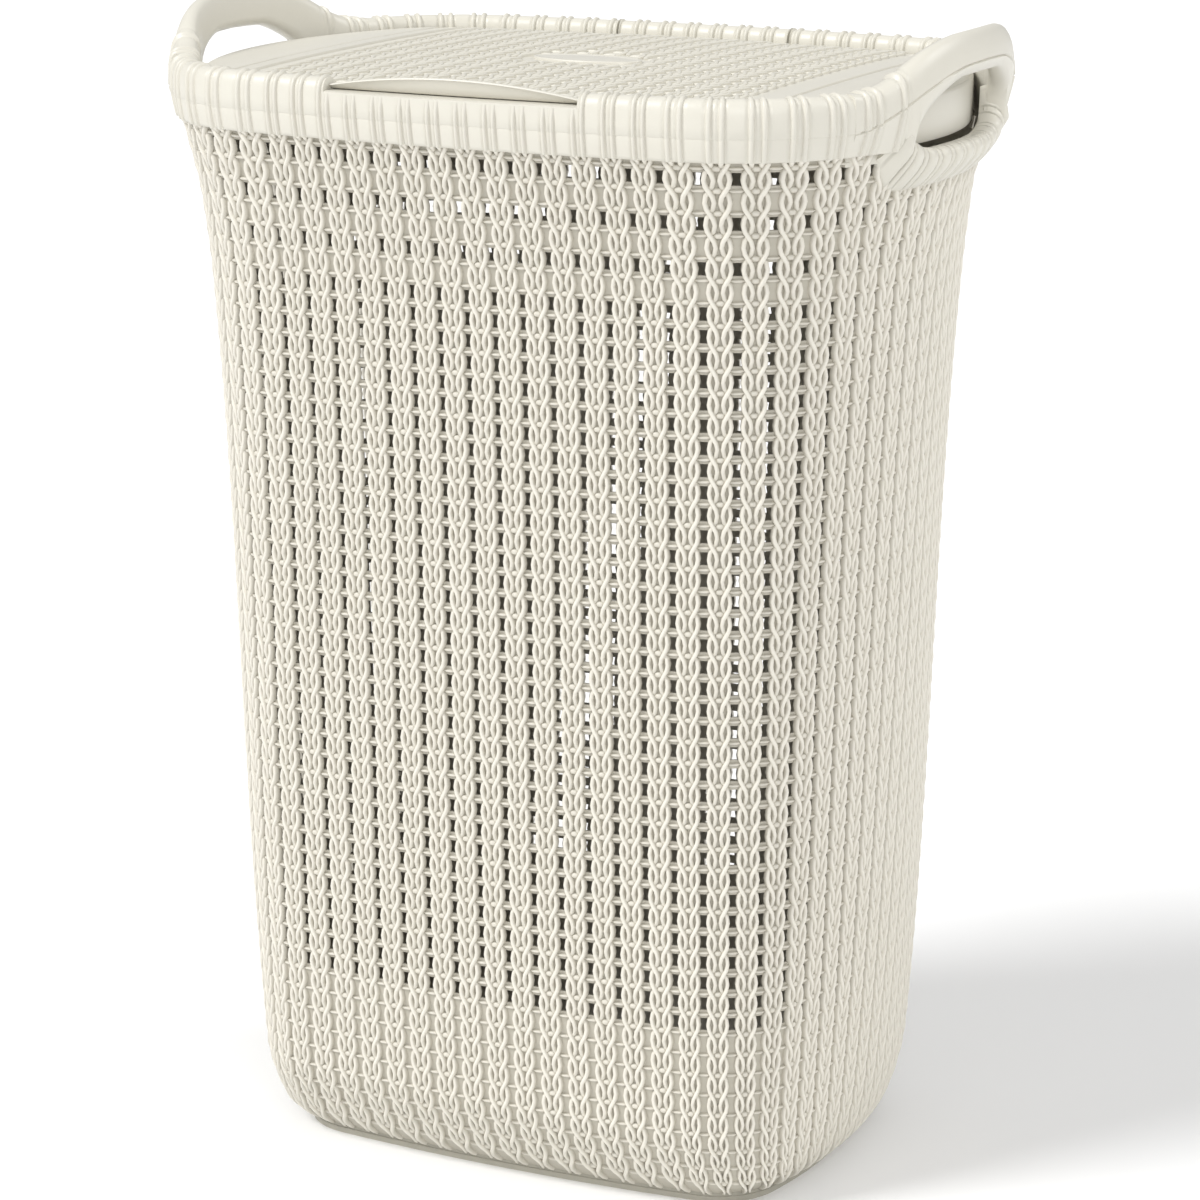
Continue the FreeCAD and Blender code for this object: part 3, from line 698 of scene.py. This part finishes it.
class HAMPER_OT_rim(bpy.types.Operator):
    """Make the ribbed band round the opening, with the finger notch and the hinge slits"""

    bl_idname = "hamper.rim"
    bl_label = "Rim band"

    def execute(self, context):
        sizes = context.scene.hamper_rim
        colour = context.scene.hamper_colours.basket
        material = moulded_plastic("ivory_band_plastic", colour, 0.38, 0.00002)

        shell = Shell()
        notch_loop = lowered(BAND_LOOP, NOTCH_FLOOR, 1.5)
        band(shell, -8, -NOTCH, sizes)
        band(shell, -NOTCH, NOTCH, sizes, notch_loop, BAND_LOOP[:, 1] < NOTCH_RIB_TOP)
        band(shell, NOTCH, 8, sizes)
        shell.make("rim_front_run", "basket", material, ("rim_front",))

        for place, first, last in (
            ("front_right", 8, 12.1),
            ("rear_right", 21.9, 26),
            ("rear_left", 42, 46.1),
            ("front_left", 55.9, 60),
        ):
            shell = Shell()
            band(shell, first, last, sizes)
            shell.make(
                f"rim_corner_run_{place}", "basket", material, (f"rim_corner_{place}",)
            )
        middle = 2 * QUARTER
        for side, first, last in (
            ("right", 26, middle - SLIT_EDGE),
            ("left", middle + SLIT_EDGE, 42),
        ):
            shell = Shell()
            band(shell, first, last, sizes)
            shell.make(f"rim_rear_run_{side}", "basket", material, (f"rim_rear_{side}",))

        tab_loop = BAND_LOOP.copy()
        tab_loop[:, 1] = np.maximum(tab_loop[:, 1], TAB_FOOT)
        tab_loop = np.delete(tab_loop, (1, 2, 3, 19), axis=0)  # points that now coincide
        shell = Shell()
        band(shell, middle - TAB_EDGE, middle + TAB_EDGE, sizes, tab_loop)
        web = np.array([[-8.5, 578.2], [-8.5, 582.4], [-11.5, 582.4], [-11.5, 578.2]])
        lines = np.linspace(middle - TAB_EDGE, middle + TAB_EDGE, 25)
        shell.tubes(on_rim(lines[:, None], web[:, 1], web[:, 0])[None])
        shell.make("hinge_segment", "lid", material, ("lid_hinge_tab",))
        return {"FINISHED"}


# --- hand grips -------------------------------------------------------------------

def on_end(side, across, height, offset):
    """Points on one end of the hamper, at a distance across from its middle."""
    turn = np.arcsin(across / RIM_END_RADIUS)
    reach = RIM_END_RADIUS + offset
    return np.stack(
        np.broadcast_arrays(side * reach * np.cos(turn), reach * np.sin(turn), height), -1
    )


GRIP_KNOTS = (0, 20, 35, 50, 60, 68, 77, 85, 92, 98)
GRIP_TOP = (615, 614.7, 613.1, 609.3, 604.8, 600.0, 594.9, 592.2, 591.1, 591)
GRIP_CREASE = (600, 599.2, 597.0, 592.4, 588.2, 584.2, 579.6, 575.8, 573.2, 572.2)
GRIP_CREST = (5.5, 5.3, 5.0, 4.2, 3.2, 2.0, 0.0, -1.6, -2.6, -3)
GRIP_INSIDE = (-0.5, -0.6, -0.9, -1.6, -3.0, -4.8, -7.0, -8.4, -8.9, -9)
HOLE_KNOTS = (0, 24, 32, 40, 47, 53, 57, 59.2, 60, 60.3)
HOLE_TOP = (593.5, 592.8, 590.8, 587.4, 583.6, 578.9, 573.6, 568.0, 563.0, 560.4)
HOLE_EDGE = HOLE_KNOTS[-1]
SILL_KNOTS = (0, 58, 64, 72, 80, 90, 99)
SILL_BULGE = (5.2, 5.2, 4.6, 3.2, 2.0, 1.2, 0.9)
BELOW_HOLE = 560.4


def grip_loop(across):
    """Cross-sections of a grip, leg and all: offset and height, one row of points a section."""
    run = np.abs(across)
    top = smooth(run, GRIP_KNOTS, GRIP_TOP)
    crease_height = smooth(run, GRIP_KNOTS, GRIP_CREASE)
    crest = smooth(run, GRIP_KNOTS, GRIP_CREST)
    inside = smooth(run, GRIP_KNOTS, GRIP_INSIDE)
    bottom = np.where(run < HOLE_EDGE, smooth(run, HOLE_KNOTS, HOLE_TOP), BELOW_HOLE)
    crease = 3.6 + swell(run)
    foot = smooth(run, SILL_KNOTS, SILL_BULGE) + 0.4
    rounding = np.clip((bottom - BELOW_HOLE) / 12, 0, 1) * 3.2 + 0.8
    low = bottom + rounding
    share = np.clip((low - BELOW_HOLE) / (crease_height - BELOW_HOLE), 0, 1)
    flank = foot + (crease - foot) * share**0.8 - 0.6 * (bottom > BELOW_HOLE + 5)
    points = [
        (inside + rounding * 1.2, bottom),
        (flank - rounding * 0.9, bottom),
        (flank - rounding * 0.25, bottom + rounding * 0.3),
        (flank, low),
    ]
    for step in (0.35, 0.7):
        bulge = 0.5 * math.sin(math.pi * step)
        points.append((flank + (crease - flank) * step + bulge, low + (crease_height - low) * step))
    points += [
        (crease, crease_height - 0.9),
        (crease - 0.9, crease_height - 0.2),
        (crease + 0.15, crease_height + 0.6),
    ]
    rise, reach = top - crease_height, crease - crest
    boxy = smooth(run, (0, 60, 85, 97), (0.95, 0.85, 0.5, 0.3))
    for turn in (18, 35, 50, 64, 77, 90):
        c, s = math.cos(math.radians(turn)) ** boxy, math.sin(math.radians(turn)) ** boxy
        points.append((crest + reach * c, crease_height + rise * s))
    drop, back = np.minimum(top - bottom - 6, 12), crest - inside
    for turn in (25, 45, 65, 90):
        c, s = math.cos(math.radians(turn)) ** 0.8, math.sin(math.radians(turn)) ** 0.8
        points.append((crest - back * s, top - drop * (1 - c)))
    points += [
        (inside, bottom + 4 + 0.3 * (top - drop - bottom - 4)),
        (inside, bottom + rounding),
        (inside + rounding * 0.35, bottom + rounding * 0.3),
    ]
    return np.stack([np.stack(np.broadcast_arrays(*p), -1) for p in points], 1)


GRIP_STATIONS = (0, 6, 12, 18, 24, 28, 32, 36, 40, 44, 47, 50, 52, 54, 55.5, 57, 58, 58.7, 59.2)
GRIP_STATIONS += (59.6, 59.9, 60.1, 60.25, 60.4, 61.5, 63.5, 66)

GRIP_OUTSIDE = slice(3, 18)  # points of the loop that carry the ribs
LEG_START, LEG_END = 3.45, 5  # wale lines from the middle of the end, over a ribbed leg

# the bead under a hand hole: its inner edge, and where the cords that run over it end
BEAD_INNER = ((0, 557.5), (29, 557.5), (42, 559), (50, 561.5), (56, 566), (59.3, 572), (61, 578))
BEAD_OUTER = ((0, 538), (30, 538), (45, 538), (56, 538.5), (64, 540), (71, 545), (77, 557))
# along a cord: share of the way out, offset from the wall, drop below the edge, cord relief and
# painted groove shade
BEAD_SECTION = (
    (0.00, -6.6, 3.0, 0.0),
    (0.00, -6.6, 0.6, 0.0),
    (0.00, -5.6, 0.0, 0.2),
    (0.00, -3.0, -0.6, 0.6),
    (0.01, -0.4, -0.9, 0.9),
    (0.03, 2.2, -0.6, 1.0),
    (0.09, 4.2, 0.0, 1.0),
    (0.20, 5.4, 0.0, 1.0),
    (0.35, 5.7, 0.0, 1.0),
    (0.50, 5.0, 0.0, 1.0),
    (0.66, 3.5, 0.0, 1.0),
    (0.82, 1.7, 0.0, 0.9),
    (0.94, 0.4, 0.0, 0.5),
    (1.00, -1.2, 0.0, 0.0),
    (1.00, -3.2, 0.0, 0.0),
    (0.50, -3.4, 0.0, 0.0),
)
CORD_PITCH = 12.9
CORDS = 6  # on each side of the middle
CORD_SECTION = (  # phase from a cord's middle, height
    (0, 0.08, 0.16, 0.22, 0.27, 0.31, 0.335, 0.37, 0.395, 0.43, 0.47, 0.5),
    (1.5, 1.45, 1.25, 0.85, 0.0, -1.3, -1.5, -1.3, 0.1, 0.55, 0.7, 0.7),
)


def bead(shell, side):
    """The corded bead under a hand hole, whose cords fan out at the hole's corners, with painted
    shade in the grooves between the cords.
    """
    inner, outer = np.array(BEAD_INNER, float), np.array(BEAD_OUTER, float)
    runs = np.concatenate([[0], np.cumsum(np.hypot(*np.diff(inner, axis=0).T))])
    phases = np.array(CORD_SECTION[0])
    phases = np.concatenate([phases, 1 - phases[-2:0:-1]])
    half = ((np.arange(CORDS)[:, None] + phases) * CORD_PITCH).ravel()
    half = np.unique(np.append(half[half < runs[-1]], runs[-1]).round(4))
    phase = np.abs(np.mod(half / CORD_PITCH + 0.5, 1.0) - 0.5)
    relief = np.interp(phase, *CORD_SECTION) * np.clip((runs[-1] - half) / 6, 0, 1)
    near, far = smooth(half, runs, inner), smooth(half, runs, outer)
    corner = np.clip((half - 52) / 12, 0, 1)
    rows, shades = [], []
    for share, offset, drop, corded in BEAD_SECTION:
        spot = near + (far - near) * share
        lift = offset + relief * corded + corner * 1.4 * math.sin(math.pi * min(share * 1.6, 1))
        rows.append(np.stack([spot[:, 0], spot[:, 1] - drop, lift + 0 * half], -1))
        # painted shade in the grooves between the cords
        shades.append(1 - min(corded, 1) * np.clip(-relief, 0, 1))
    rows = np.stack(rows, 1)
    shades = np.stack(shades, 1)
    shades = np.concatenate([shades[::-1], shades[1:]])
    both = np.concatenate([rows[::-1] * np.array([-1, 1, 1]), rows[1:]])
    wale = QUARTER * (2 - side) + side * both[..., 0] / END_PITCH
    x, y, nx, ny = outline(wale, both[..., 1])
    points = np.stack([x + nx * both[..., 2], y + ny * both[..., 2], both[..., 1]], -1)
    shell.tubes(points[None], relief=shades.ravel())


class HAMPER_OT_grips(bpy.types.Operator):
    """Make the two hand grips and the corded beads under their holes"""

    bl_idname = "hamper.grips"
    bl_label = "Hand grips"

    def execute(self, context):
        colour = context.scene.hamper_colours.basket
        material = moulded_plastic("ivory_grip_plastic", colour, 0.36, 0.00002)
        sizes = context.scene.hamper_rim
        leg = rib_columns(QUARTER + LEG_START, QUARTER + LEG_END, sizes) - QUARTER
        half = np.unique(np.concatenate([GRIP_STATIONS, leg * END_PITCH]).round(3))
        across = np.concatenate([-half[::-1], half[1:]])
        loop = grip_loop(across)
        normal = np.stack([loop_normals(section) for section in loop])
        ribs = rib_height(QUARTER + across / END_PITCH, sizes)
        ribs = ribs * (np.abs(across) > GRIP_STATIONS[-1])
        outside = np.zeros(loop.shape[1])
        outside[GRIP_OUTSIDE] = 1.0
        loop = loop + normal * ribs[:, None, None] * outside[None, :, None]
        for side_name, side in (("left", -1), ("right", 1)):
            shell = Shell()
            shell.tubes(on_end(side, across[:, None], loop[..., 1], loop[..., 0])[None])
            shell.make(
                f"hand_grip_{side_name}",
                "basket",
                material,
                (f"handle_{side_name}",),
                sharp=50,
            )

        for side_name, side in (("left", -1), ("right", 1)):
            shell = Shell()
            bead(shell, side)
            for end in (-1, 1):
                lines = QUARTER * (2 - side) + end * np.linspace(2.85, 5.0, 12)
                loop = np.array([[-2.4, 555.0], [-2.4, 568.0], [-3.9, 568.0], [-3.9, 555.0]])
                shell.tubes(on_rim(lines[:, None], loop[:, 1], loop[:, 0])[None])
            shell.make(
                f"hand_hole_bead_{side_name}",
                "basket",
                material,
                (f"hand_hole_sill_{side_name}",),
                sharp=60,
            )
        return {"FINISHED"}


# --- lid --------------------------------------------------------------------------


def lid_edge_depth(x):
    """Half the lid's depth at a distance from its middle."""
    table = np.linspace(0, QUARTER, 200)
    edge = on_rim(table, 0.0, LID_INSET)
    return np.interp(np.abs(x), edge[:, 0], -edge[:, 1])


def lid_edge_width(y):
    """Half the lid's width at a distance from its middle."""
    table = np.linspace(QUARTER, 0, 200)
    edge = on_rim(table, 0.0, LID_INSET)
    return np.interp(np.abs(y), -edge[:, 1], edge[:, 0])


def on_lid(x, y, lift):
    height, _ = dome(x, y)
    return np.stack(np.broadcast_arrays(x, y, height + lift), -1)


KNIT_EDGE = 141.5  # end of the lid's knit, from its middle
BORDER_GROOVE = 153.0  # groove that parts the two smooth borders at each end
LID_RELIEF = 0.62  # height of the lid's knit, as a share of the wall's
LID_FIRST_COURSE = 139.0
LID_COLUMNS, LID_COURSES = 8, 26


class HAMPER_OT_lid(bpy.types.Operator):
    """Make the lid: its domed panel, smooth borders, end skirts and knit relief"""

    bl_idname = "hamper.lid"
    bl_label = "Lid"

    def execute(self, context):
        knit = context.scene.hamper_knit
        colour = context.scene.hamper_colours.lid
        smooth_plastic = moulded_plastic("ivory_lid_plastic", colour, 0.38, 0.00002)
        knit_plastic = moulded_plastic("ivory_lid_knit_plastic", colour, 0.45, 0.00004)
        self.panel(smooth_plastic)
        self.skirts(smooth_plastic)
        self.knit(knit_plastic, knit)
        return {"FINISHED"}

    def panel(self, material):
        wale = np.arange(0, WALES, 0.25)
        rings = []
        under = ((0.02, 583.9), (0.4, 583.8), (0.7, 582.8), (0.9, 581.0), (0.965, 579.6))
        for share, height in under:
            rim = on_rim(wale, height, LID_INSET)
            rings.append(rim * np.array([share, share, 1]))
        for inset, height in ((2.6, 578.6), (2.4, 578.0), (0.4, 578.0), (0.0, 578.5), (0.0, 581.4)):
            rings.append(on_rim(wale, height, LID_INSET - inset))
        for inset, height in ((0.5, 582.5), (1.5, 583.1)):
            rings.append(on_rim(wale, height, LID_INSET - inset))
        for share in (0.97, 0.93, 0.87, 0.8, 0.72, 0.63, 0.53, 0.42, 0.3, 0.17, 0.02):
            rim = on_rim(wale, 0.0, LID_INSET) * share
            rings.append(on_lid(rim[:, 0], rim[:, 1], 0.0))
        shell = Shell()
        shell.tubes(np.stack(rings)[None])
        for side in (-1, 1):
            self.border(shell, side, KNIT_EDGE + 1.0, lambda y: BORDER_GROOVE - 0.8 + 0 * y, 1.3)
            self.border(shell, side, BORDER_GROOVE + 0.8, lambda y: lid_edge_width(y) - 1.2, 1.7)
        shell.make("lid_domed_panel", "lid", material, ("lid_panel",))

    def border(self, shell, side, start, end, lift):
        """A smooth raised border on the panel, from a line across the lid to another."""
        depth = lid_edge_depth(start + 1.0) - 1.2
        y = depth * np.sin(np.linspace(-math.pi / 2, math.pi / 2, 61)) * 0.999
        finish = np.maximum(end(y), start + 0.6)
        share = np.array([0, 0.0, 0.02, 0.06, 0.2, 0.4, 0.6, 0.8, 0.94, 0.98, 1.0, 1.0])
        rise = np.array([-1.6, 0, 0.7, 1, 1, 1, 1, 1, 1, 0.75, 0, -1.6])
        x = start + (finish - start)[:, None] * share
        lifted = np.where(rise > 0, rise * lift, rise)
        points = on_lid(side * x, y[:, None] + 0 * x, lifted + 0 * x)
        shell.tubes(points[None])

    def skirts(self, material):
        loop = np.array(
            [
                [-10.5, 581.0], [-10.4, 570.0], [-10.6, 561.0], [-11.2, 559.4],
                [-12.2, 559.2], [-13.0, 560.2], [-13.2, 570.0], [-13.2, 580.5],
            ]
        )
        across = np.linspace(-96, 96, 65)
        for side_name, side in (("left", -1), ("right", 1)):
            shell = Shell()
            shell.tubes(on_end(side, across[:, None], loop[:, 1], loop[:, 0])[None])
            shell.make(
                f"lid_end_skirt_{side_name}",
                "lid",
                material,
                (f"lid_skirt_{side_name}",),
            )

    def knit(self, material, sizes):
        """Strands with less relief than the wall's, laid over the panel."""
        strand = strand_rings(sizes)
        bar = bar_rings(sizes, 0.0, 0.21, -2.1, 0.75, 0.7, 0.6)
        columns = np.arange(-LID_COLUMNS, LID_COLUMNS + 1) * PITCH
        rows = LID_FIRST_COURSE - COURSE * (np.arange(LID_COURSES) - 1)
        x, y = stitches(columns, rows)
        shell = Shell()
        for rings in (strand, mirrored(strand), bar):
            px = x[:, None, None] + rings[None, ..., 0]
            py = y[:, None, None] - rings[None, ..., 1]
            share = dome(px, py)[1].max(axis=(1, 2))
            clear = np.abs(px).max(axis=(1, 2)) < KNIT_EDGE
            off_plate = np.hypot(px / 35.0, py / 18.0).min(axis=(1, 2)) > 1.0
            by_lip = (np.abs(px).min(axis=(1, 2)) < 69) & (py.min(axis=(1, 2)) < -139)
            keep = (share < 0.985) & clear & off_plate & ~by_lip
            lift = (rings[None, ..., 2] + sizes.sheet_depth) * LID_RELIEF
            shell.tubes(on_lid(px, py, lift + 0 * px)[keep])
        shell.make("lid_knit", "lid", material)


LIP_HALF_WIDTH = 69.6
LIP_TOP = 594.0
LIP_SAG = 6.3  # how much lower the crest is at the lip's two ends
LIP_REACH = 9.0  # in front of the panel's edge
LIP_FOOT = 585.1


class HAMPER_OT_lid_lip(bpy.types.Operator):
    """Make the arched finger lip at the lid's front edge"""

    bl_idname = "hamper.lid_lip"
    bl_label = "Finger lip"

    def execute(self, context):
        colour = context.scene.hamper_colours.lid
        material = moulded_plastic("ivory_lip_plastic", colour, 0.36, 0.00002)
        x = LIP_HALF_WIDTH * np.sin(np.linspace(-math.pi / 2, math.pi / 2, 81))
        crest = LIP_TOP - LIP_SAG * (x / LIP_HALF_WIDTH) ** 2
        front = -lid_edge_depth(x) - LIP_REACH
        profile = (  # distance behind the crest, share of the height from foot to crest, drop
            (0.0, 1.0, 0.8),
            (0.25, 1.0, 0.25),
            (1.0, 1.0, 0.0),
            (2.2, 0.985, 0.0),
            (5.0, 0.86, 0.0),
            (9.0, 0.5, 0.0),
            (13.0, 0.12, 0.0),
            (16.0, -0.1, 0.0),
            (16.0, -0.28, 0.0),
            (10.2, -0.28, 0.0),
            (9.4, 0.0, 0.0),
            (4.6, 0.0, 0.0),
            (3.6, 0.02, 0.0),
            (3.0, 0.1, 0.0),
            (1.9, 0.45, 0.0),
            (1.0, 0.8, 0.0),
            (0.4, 0.96, 0.6),
        )
        rows = []
        for back, share, drop in profile:
            height = LIP_FOOT + (crest - LIP_FOOT) * share - drop
            rows.append(np.stack([x, front + back, height], -1))
        shell = Shell()
        shell.tubes(np.stack(rows, 1)[None])
        shell.make("lid_finger_lip", "lid", material, ("lid_front_lip",))
        return {"FINISHED"}


PLATE_HALF_WIDTH, PLATE_HALF_DEPTH = 31.0, 14.0
LID_TOP = LID_EDGE_HEIGHT + LID_CROWN


class HAMPER_OT_badge(bpy.types.Operator):
    """Make the blank oval plate on the lid"""

    bl_idname = "hamper.badge"
    bl_label = "Oval plate"

    def execute(self, context):
        colour = context.scene.hamper_colours.lid
        material = moulded_plastic("ivory_plate_plastic", colour, 0.3, 0.00001)
        turn = np.linspace(0, 2 * math.pi, 97)[:-1]
        shell = Shell()
        rings = []
        for inset, lift in (
            (26.0, 0.2),
            (2.0, -0.6),
            (0.0, -0.6),
            (0.0, 1.0),
            (0.35, 1.45),
            (1.0, 1.6),
            (1.7, 1.45),
            (2.3, 1.15),
            (5.0, 1.3),
            (9.0, 1.45),
            (12.4, 1.5),
        ):
            wide, deep = max(PLATE_HALF_WIDTH - inset, 1.0), max(PLATE_HALF_DEPTH - inset, 0.5)
            x, y = wide * np.cos(turn), deep * np.sin(turn)
            rings.append(np.stack([x, y, LID_TOP + lift + 0 * x], -1))
        shell.tubes(np.stack(rings)[None])
        shell.make("lid_oval_plate", "lid", material, ("lid_badge_plate",))
        return {"FINISHED"}


class HAMPER_OT_carried(bpy.types.Operator):
    """Give the frame's own floor, foot, ledges, hinge pins and rear strip their plastic"""

    bl_idname = "hamper.carried"
    bl_label = "Floor, foot and hinge"

    def execute(self, context):
        colours = context.scene.hamper_colours
        basket = moulded_plastic("ivory_floor_plastic", colours.basket, 0.45, 0.00003)
        pins = moulded_plastic("ivory_pin_plastic", colours.lid, 0.3, 0.00001)
        for name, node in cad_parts.items():
            if node.hide_render:
                continue
            node.data.materials.clear()
            # the frame's parts have no relief attribute, so the material paints them all over in
            # the fold shade
            node.data.materials.append(pins if "pin" in name else basket)
        return {"FINISHED"}


# --- stage ------------------------------------------------------------------------

CAMERA_TARGET = Vector((0.0073, 0.0, 0.296))
CAMERA_AZIMUTH = math.radians(26.25)
CAMERA_ELEVATION = math.radians(14.51)
CAMERA_DISTANCE = 2.147
CAMERA_LENS = 119.0
SKY_STRENGTH = 0.5
SUNS = (  # name, direction, strength, softness in degrees
    ("key", (-1.7, -1.9, 2.6), 2.3, 22.0),
    ("fill", (1.5, -2.2, 1.2), 0.9, 30.0),
    ("edge", (2.4, 1.4, 2.0), 0.9, 30.0),
)


def sun_light(name, direction, strength, softness):
    """A distant light from a direction, with a soft edge to its shadows."""
    light = bpy.data.lights.new(name, "SUN")
    light.energy = strength
    light.angle = math.radians(softness)
    made = bpy.data.objects.new(name, light)
    made.rotation_mode = "QUATERNION"
    made.rotation_quaternion = Vector(direction).to_track_quat("Z", "Y")
    bpy.context.scene.collection.objects.link(made)


class HAMPER_OT_stage(bpy.types.Operator):
    """Make the floor, the white world behind it, the studio light and the camera"""

    bl_idname = "hamper.stage"
    bl_label = "Stage"

    def execute(self, context):
        colour = context.scene.hamper_colours.floor
        kit = Finish("pale_floor", Roughness=0.8)
        cloud = kit.noise(3.0, 2.0)
        low = tuple(c * 0.985 for c in colour) + (1.0,)
        kit.feed(kit.shader.inputs["Base Color"], kit.mix(cloud, low, tuple(colour) + (1.0,)))
        half, depth = 9.0, 0.02  # of the floor slab, in metres
        corners = [(x, y) for y in (-half, half) for x in (-half, half)]
        mesh = bpy.data.meshes.new("studio_floor")
        mesh.from_pydata(
            [(x, y, z) for z in (0.0, -depth) for x, y in corners],
            [],
            [(0, 1, 3, 2), (4, 6, 7, 5), (0, 4, 5, 1), (1, 5, 7, 3), (3, 7, 6, 2), (2, 6, 4, 0)],
        )
        mesh.materials.append(kit.material)
        floor = bpy.data.objects.new("studio_floor", mesh)
        context.scene.collection.objects.link(floor)

        world = bpy.data.worlds.new("studio")
        world.use_nodes = True
        background = world.node_tree.nodes["Background"]
        background.inputs["Color"].default_value = (1.0, 1.0, 1.0, 1.0)
        background.inputs["Strength"].default_value = SKY_STRENGTH
        context.scene.world = world
        context.scene.view_settings.view_transform = "Standard"
        for sun in SUNS:
            sun_light(*sun)

        camera = bpy.data.objects.new("camera", bpy.data.cameras.new("camera"))
        camera.data.lens = CAMERA_LENS
        camera.data.sensor_width = 36.0
        back = Vector(
            (
                math.sin(CAMERA_AZIMUTH) * math.cos(CAMERA_ELEVATION),
                -math.cos(CAMERA_AZIMUTH) * math.cos(CAMERA_ELEVATION),
                math.sin(CAMERA_ELEVATION),
            )
        )
        camera.location = CAMERA_TARGET + back * CAMERA_DISTANCE
        camera.rotation_mode = "QUATERNION"
        camera.rotation_quaternion = back.to_track_quat("Z", "Y")
        context.scene.collection.objects.link(camera)
        context.scene.camera = camera
        return {"FINISHED"}


class HAMPER_PT_panel(bpy.types.Panel):
    """Lists the hamper's pieces and sizes"""

    bl_idname = "HAMPER_PT_panel"
    bl_label = "Laundry hamper"
    bl_space_type = "VIEW_3D"
    bl_region_type = "UI"
    bl_category = "Hamper"

    def draw(self, context):
        column = self.layout.column()
        for group in ("hamper_knit", "hamper_rim", "hamper_colours"):
            values = getattr(context.scene, group)
            for name in values.bl_rna.properties.keys():
                if name not in ("rna_type", "name"):
                    column.prop(values, name)
        for operator in OPERATORS:
            column.operator(operator.bl_idname)


GROUPS = (
    ("hamper_knit", KnitSizes),
    ("hamper_rim", RimSizes),
    ("hamper_colours", HamperColours),
)
OPERATORS = (
    HAMPER_OT_knit,
    HAMPER_OT_rim,
    HAMPER_OT_grips,
    HAMPER_OT_lid,
    HAMPER_OT_lid_lip,
    HAMPER_OT_badge,
    HAMPER_OT_carried,
    HAMPER_OT_stage,
)


def register():
    for name, group in GROUPS:
        bpy.utils.register_class(group)
        setattr(bpy.types.Scene, name, PointerProperty(type=group))
    for operator in OPERATORS:
        bpy.utils.register_class(operator)
    bpy.utils.register_class(HAMPER_PT_panel)


def unregister():
    bpy.utils.unregister_class(HAMPER_PT_panel)
    for operator in reversed(OPERATORS):
        bpy.utils.unregister_class(operator)
    for name, group in reversed(GROUPS):
        delattr(bpy.types.Scene, name)
        bpy.utils.unregister_class(group)


def main():
    register()
    bpy.ops.hamper.knit()
    bpy.ops.hamper.rim()
    bpy.ops.hamper.grips()
    bpy.ops.hamper.lid()
    bpy.ops.hamper.lid_lip()
    bpy.ops.hamper.badge()
    bpy.ops.hamper.carried()
    bpy.ops.hamper.stage()


if __name__ == "__main__":
    main()
